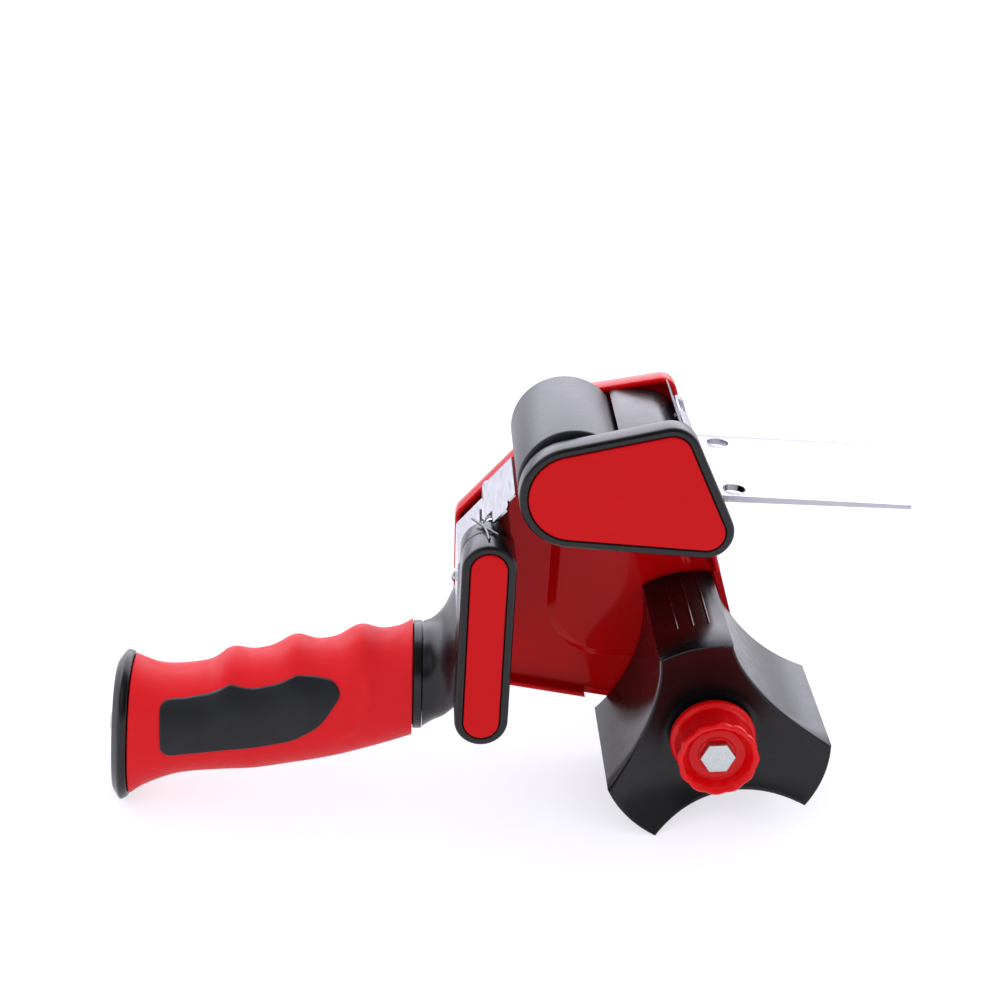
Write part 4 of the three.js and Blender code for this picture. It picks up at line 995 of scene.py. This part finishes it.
def hub_side(y, inset, recess):
    """A ring round the outline at a depth, sunk where a lobe has its recess."""
    return [(x - n.x * (inset + (recess if sunk else 0)), y, z - n.y * (inset + (recess if sunk else 0)))
            for (x, z, sunk), n in zip(outline, outward)]


rings = [hub_ring(0, 0, 2.6), hub_ring(0, 0, 0.3), hub_ring(0.01, 0, 0.0)]
rings += [hub_ring(k / 22, EDGE, 0.0) for k in range(1, 22)]
rings += [hub_ring(1, EDGE, 0.0), hub_ring(1, EDGE * 0.6, EDGE * 0.1), hub_ring(1, EDGE * 0.25, EDGE * 0.3),
          hub_ring(1, 0, EDGE)]
rings += [hub_side(10, 0, 0), hub_side(LEAD_IN, 0, 0), hub_side(LEAD_IN + 1.5, 0, RECESS),
          hub_side(HUB_LENGTH - 2, 0, RECESS), hub_side(HUB_LENGTH - 1.5, 0, 0),
          hub_side(HUB_LENGTH - 0.4, 0, 0), hub_side(HUB_LENGTH, 0.4, 0)]
# The back is flat round a pocket, and the bore behind the front web runs on the spindle.
POCKET_RADIUS, POCKET_FLOOR, BORE, WEB_BACK = 14.0, 49.5, 9.0, 13.2
for radius, y in ((20.6, HUB_LENGTH), (POCKET_RADIUS, HUB_LENGTH), (POCKET_RADIUS, POCKET_FLOOR),
                  (BORE, POCKET_FLOOR), (BORE, WEB_BACK), (HUB_HOLE, WEB_BACK)):
    rings.append([(radius * cos(atan2(z, x)), y, radius * sin(atan2(z, x))) for x, z, _ in outline])
piece("tape_hub_body", [skinned(rings, closed=True)], satin_black, "tape_hub", ["tape_hub"], 32)

RIB_LENGTH, RIB_WIDTH = 37.0, 1.1
# Where along the rib, and its half width and half height there.
rib_sizes = ((0, 0.1, 0.1), (0.4, 0.35, 0.5), (1.6, RIB_WIDTH / 2, 0.8),
             (RIB_LENGTH - 0.6, RIB_WIDTH / 2, 0.8), (RIB_LENGTH, 0.3, 0.5))
rib = loose_mesh("hub_rib", [skinned([superellipse(x, 0, 0, w, h, 2.0, steps=16) for x, w, h in rib_sizes])])
rib.transform(Matrix.Rotation(pi / 2, 4, "Z"))
# Nine points, three for each lobe, are laid round the hub, and each carries a rib that leans outwards.
tree, given = node_tree("hub_ribs", Rib="Object", Radius="Float", Lobe_angle="Float", Rib_spacing="Float")
shape = add(tree, "GeometryNodeObjectInfo", {"Object": given.outputs["Rib"]})
dots = add(tree, "GeometryNodeMeshLine", {"Count": 9})
number = add(tree, "GeometryNodeInputIndex")
lobe = add(tree, "ShaderNodeMath", {0: number.outputs[0], 1: 3.0}, operation="DIVIDE")
lobe = add(tree, "ShaderNodeMath", {0: lobe.outputs[0]}, operation="FLOOR")
rib_number = add(tree, "ShaderNodeMath", {0: number.outputs[0], 1: 3.0}, operation="MODULO")
rib_number = add(tree, "ShaderNodeMath", {0: rib_number.outputs[0], 1: 1.0}, operation="SUBTRACT")
across = add(tree, "ShaderNodeMath", {0: rib_number.outputs[0], 1: given.outputs["Rib spacing"]},
             operation="MULTIPLY")
third = add(tree, "ShaderNodeMath", {0: lobe.outputs[0], 1: 2 * pi / 3}, operation="MULTIPLY")
angle = add(tree, "ShaderNodeMath", {0: third.outputs[0], 1: given.outputs["Lobe angle"]}, operation="ADD")
angle = add(tree, "ShaderNodeMath", {0: angle.outputs[0], 1: across.outputs[0]}, operation="ADD")
cosine = add(tree, "ShaderNodeMath", {0: angle.outputs[0]}, operation="COSINE")
sine = add(tree, "ShaderNodeMath", {0: angle.outputs[0]}, operation="SINE")
right = add(tree, "ShaderNodeMath", {0: cosine.outputs[0], 1: given.outputs["Radius"]}, operation="MULTIPLY")
up = add(tree, "ShaderNodeMath", {0: sine.outputs[0], 1: given.outputs["Radius"]}, operation="MULTIPLY")
spot = add(tree, "ShaderNodeCombineXYZ", {"X": right.outputs[0], "Z": up.outputs[0]})
dots = add(tree, "GeometryNodeSetPosition", {"Geometry": dots.outputs[0], "Position": spot.outputs[0]})
lean_back = add(tree, "ShaderNodeMath", {0: pi / 2, 1: angle.outputs[0]}, operation="SUBTRACT")
turn = add(tree, "ShaderNodeCombineXYZ", {"Y": lean_back.outputs[0]})
spread = add(tree, "GeometryNodeInstanceOnPoints", {
    "Points": dots.outputs[0], "Instance": shape.outputs["Geometry"], "Rotation": turn.outputs[0]})
give_out(tree, spread.outputs[0], satin_black)
rib_object = bpy.data.objects.new("hub_rib", rib)
scene.collection.objects.link(rib_object)
ribs = made_by(tree, "hub_ribs", {
    "Rib": rib_object, "Radius": HUB_RADIUS - 0.6, "Lobe angle": radians(LOBE_ANGLE - 1.6),
    "Rib spacing": radians(8.0)})
bpy.data.objects.remove(rib_object)
ribs.transform(Matrix.Translation((0, LEAD_IN - 0.3, 0)))
finish("hub_ribs", placed(ribs), satin_black, "tape_hub", (), 40)

spindle = fillet([(5.4, 13.4), (8.6, 13.4), (8.6, 50.5), (12, 53), (12, 55.7), (2.1, 55.7), (2.1, 38),
                  (5.4, 38)], 0.3, 3)
piece("hub_spindle_boss", [turned(spindle, steps=64)], satin_black, "frame", ["hub_spindle"])


# Brake ----------------------------------------------------------------------------------------------
# The red knob is screwed in to squeeze a coil spring on to a washer on the hub's front, which drags on
# the hub so that the tape doesn't run on. The knob's cup is scalloped for the fingers.
SCALLOPS, SCALLOP_DEPTH = 12, 0.55
knob_red = plastic("moulded_abs_red_knob", "C40206", "CC0408", 0.2, 1.6, 0.004, shine=0.25, uneven=0.04)
# radius, depth and how much of the scallop shows
KNOB = [(3.3, -0.3, 0), (3.3, -2.9, 0), (3.5, -3.0, 0), (5.7, -3.0, 0), (6.0, -2.8, 0), (6.1, -2.5, 0),
        (6.4, -2.4, 0), (8.4, -2.4, 0), (9.0, -2.6, 0), (9.5, -3.2, 0.1), (10.6, -5.2, 0.3), (11.2, -6.2, 0.5),
        (11.6, -6.6, 0.6), (12.1, -6.8, 0.8), (12.6, -6.75, 0.9), (13.0, -6.4, 1), (13.2, -5.8, 1),
        (13.15, -5.0, 1), (12.9, -3.0, 0.9), (12.55, 0.0, 0.7), (12.4, 3.6, 0.4), (12.5, 4.6, 0.2),
        (12.9, 5.1, 0), (13.4, 5.3, 0), (13.8, 5.7, 0), (14.0, 6.2, 0), (14.0, 7.4, 0), (13.8, 7.85, 0),
        (13.2, 8.0, 0), (9.7, 8.0, 0), (9.4, 7.7, 0), (9.4, -0.3, 0)]
blank = loose_mesh("knob", [turned([(radius, y) for radius, y, _ in KNOB], steps=SCALLOPS * 14)])
shares = blank.attributes.new("scallop", "FLOAT", "POINT")
for vertex, share in zip(blank.vertices, shares.data):
    spot = min(KNOB, key=lambda row: hypot(row[0] - hypot(vertex.co.x, vertex.co.z), row[1] - vertex.co.y))
    share.value = spot[2]
tree, given = node_tree("knob_scallops", Blank="Geometry", Scallops="Int", Depth="Float")
spot = add(tree, "GeometryNodeInputPosition")
parts = add(tree, "ShaderNodeSeparateXYZ", {0: spot.outputs[0]})
angle = add(tree, "ShaderNodeMath", {0: parts.outputs["Z"], 1: parts.outputs["X"]}, operation="ARCTAN2")
turns = add(tree, "ShaderNodeMath", {0: angle.outputs[0], 1: given.outputs["Scallops"]}, operation="MULTIPLY")
half_turns = add(tree, "ShaderNodeMath", {0: turns.outputs[0], 1: 0.5}, operation="MULTIPLY")
wave = add(tree, "ShaderNodeMath", {0: half_turns.outputs[0]}, operation="COSINE")
wave = add(tree, "ShaderNodeMath", {0: wave.outputs[0]}, operation="ABSOLUTE")
hollow = add(tree, "ShaderNodeMath", {0: 1.0, 1: wave.outputs[0]}, operation="SUBTRACT")
shown = add(tree, "GeometryNodeInputNamedAttribute", {"Name": "scallop"}, data_type="FLOAT")
hollow = add(tree, "ShaderNodeMath", {0: hollow.outputs[0], 1: shown.outputs["Attribute"]},
             operation="MULTIPLY")
inward = add(tree, "ShaderNodeMath", {0: hollow.outputs[0], 1: given.outputs["Depth"]}, operation="MULTIPLY")
radial = add(tree, "ShaderNodeCombineXYZ", {"X": parts.outputs["X"], "Z": parts.outputs["Z"]})
way_out = add(tree, "ShaderNodeVectorMath", {0: radial.outputs[0]}, operation="NORMALIZE")
back_off = add(tree, "ShaderNodeMath", {0: inward.outputs[0], 1: -1.0}, operation="MULTIPLY")
shift = add(tree, "ShaderNodeVectorMath", {0: way_out.outputs[0], "Scale": back_off.outputs[0]},
            operation="SCALE")
pressed = add(tree, "GeometryNodeSetPosition", {
    "Geometry": given.outputs["Blank"], "Offset": shift.outputs[0]})
give_out(tree, pressed.outputs[0], knob_red)
knob = made_by(tree, "knob_scallops", {"Scallops": SCALLOPS, "Depth": SCALLOP_DEPTH}, blank)
finish("brake_knob_body", placed(knob), knob_red, "brake_knob", ["brake_knob"], 50)



def hexagon(radius, y, turn=0.0):
    return [(radius * cos(pi / 3 * k + turn), y, radius * sin(pi / 3 * k + turn)) for k in range(6)]


HEX_RADIUS, NUT_RADIUS = 10.0 / sqrt(3), 5.1
head_profile = fillet([(-2.0, -3.3), (0, -3.3), (0, -5.7, 0.5), (-2.0, -5.7)], 0.3, 4)
head_rings = [hexagon(HEX_RADIUS + grow, y, 0.06) for grow, y in head_profile]
shank = turned(fillet([(0, -3.6), (2.9, -3.6), (2.9, 25.4), (2.3, 26), (0, 26)], 0.1), steps=32)
piece("brake_bolt_hex", [skinned(head_rings), shank], zinc, "brake_knob", ["brake_bolt"], 30)

washer = fillet([(3.3, 9.2), (8.8, 9.2), (8.8, 10.0), (3.3, 10.0)], 0.15, 3, True)
piece("brake_washer_ring", [turned(washer, steps=64)], zinc, "frame", ["brake_washer"])
cap = fillet([(3.3, 0), (8.6, 0), (8.6, 0.8), (3.3, 0.8)], 0.15, 3, True)
piece("spring_cap_ring", [turned(cap, steps=64)], zinc, "spring_cap", ["spring_cap"])
brake_spring = coil("brake_spring_coil", 4.0, 5.4, 6.8, 1.0, 0, 1.6, 0, wire, "frame", "brake_spring")
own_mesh(brake_spring)
piece("brake_nut_hex", [skinned([hexagon(NUT_RADIUS, y) for y in (16, 21)])], zinc, "frame", ["brake_nut"])
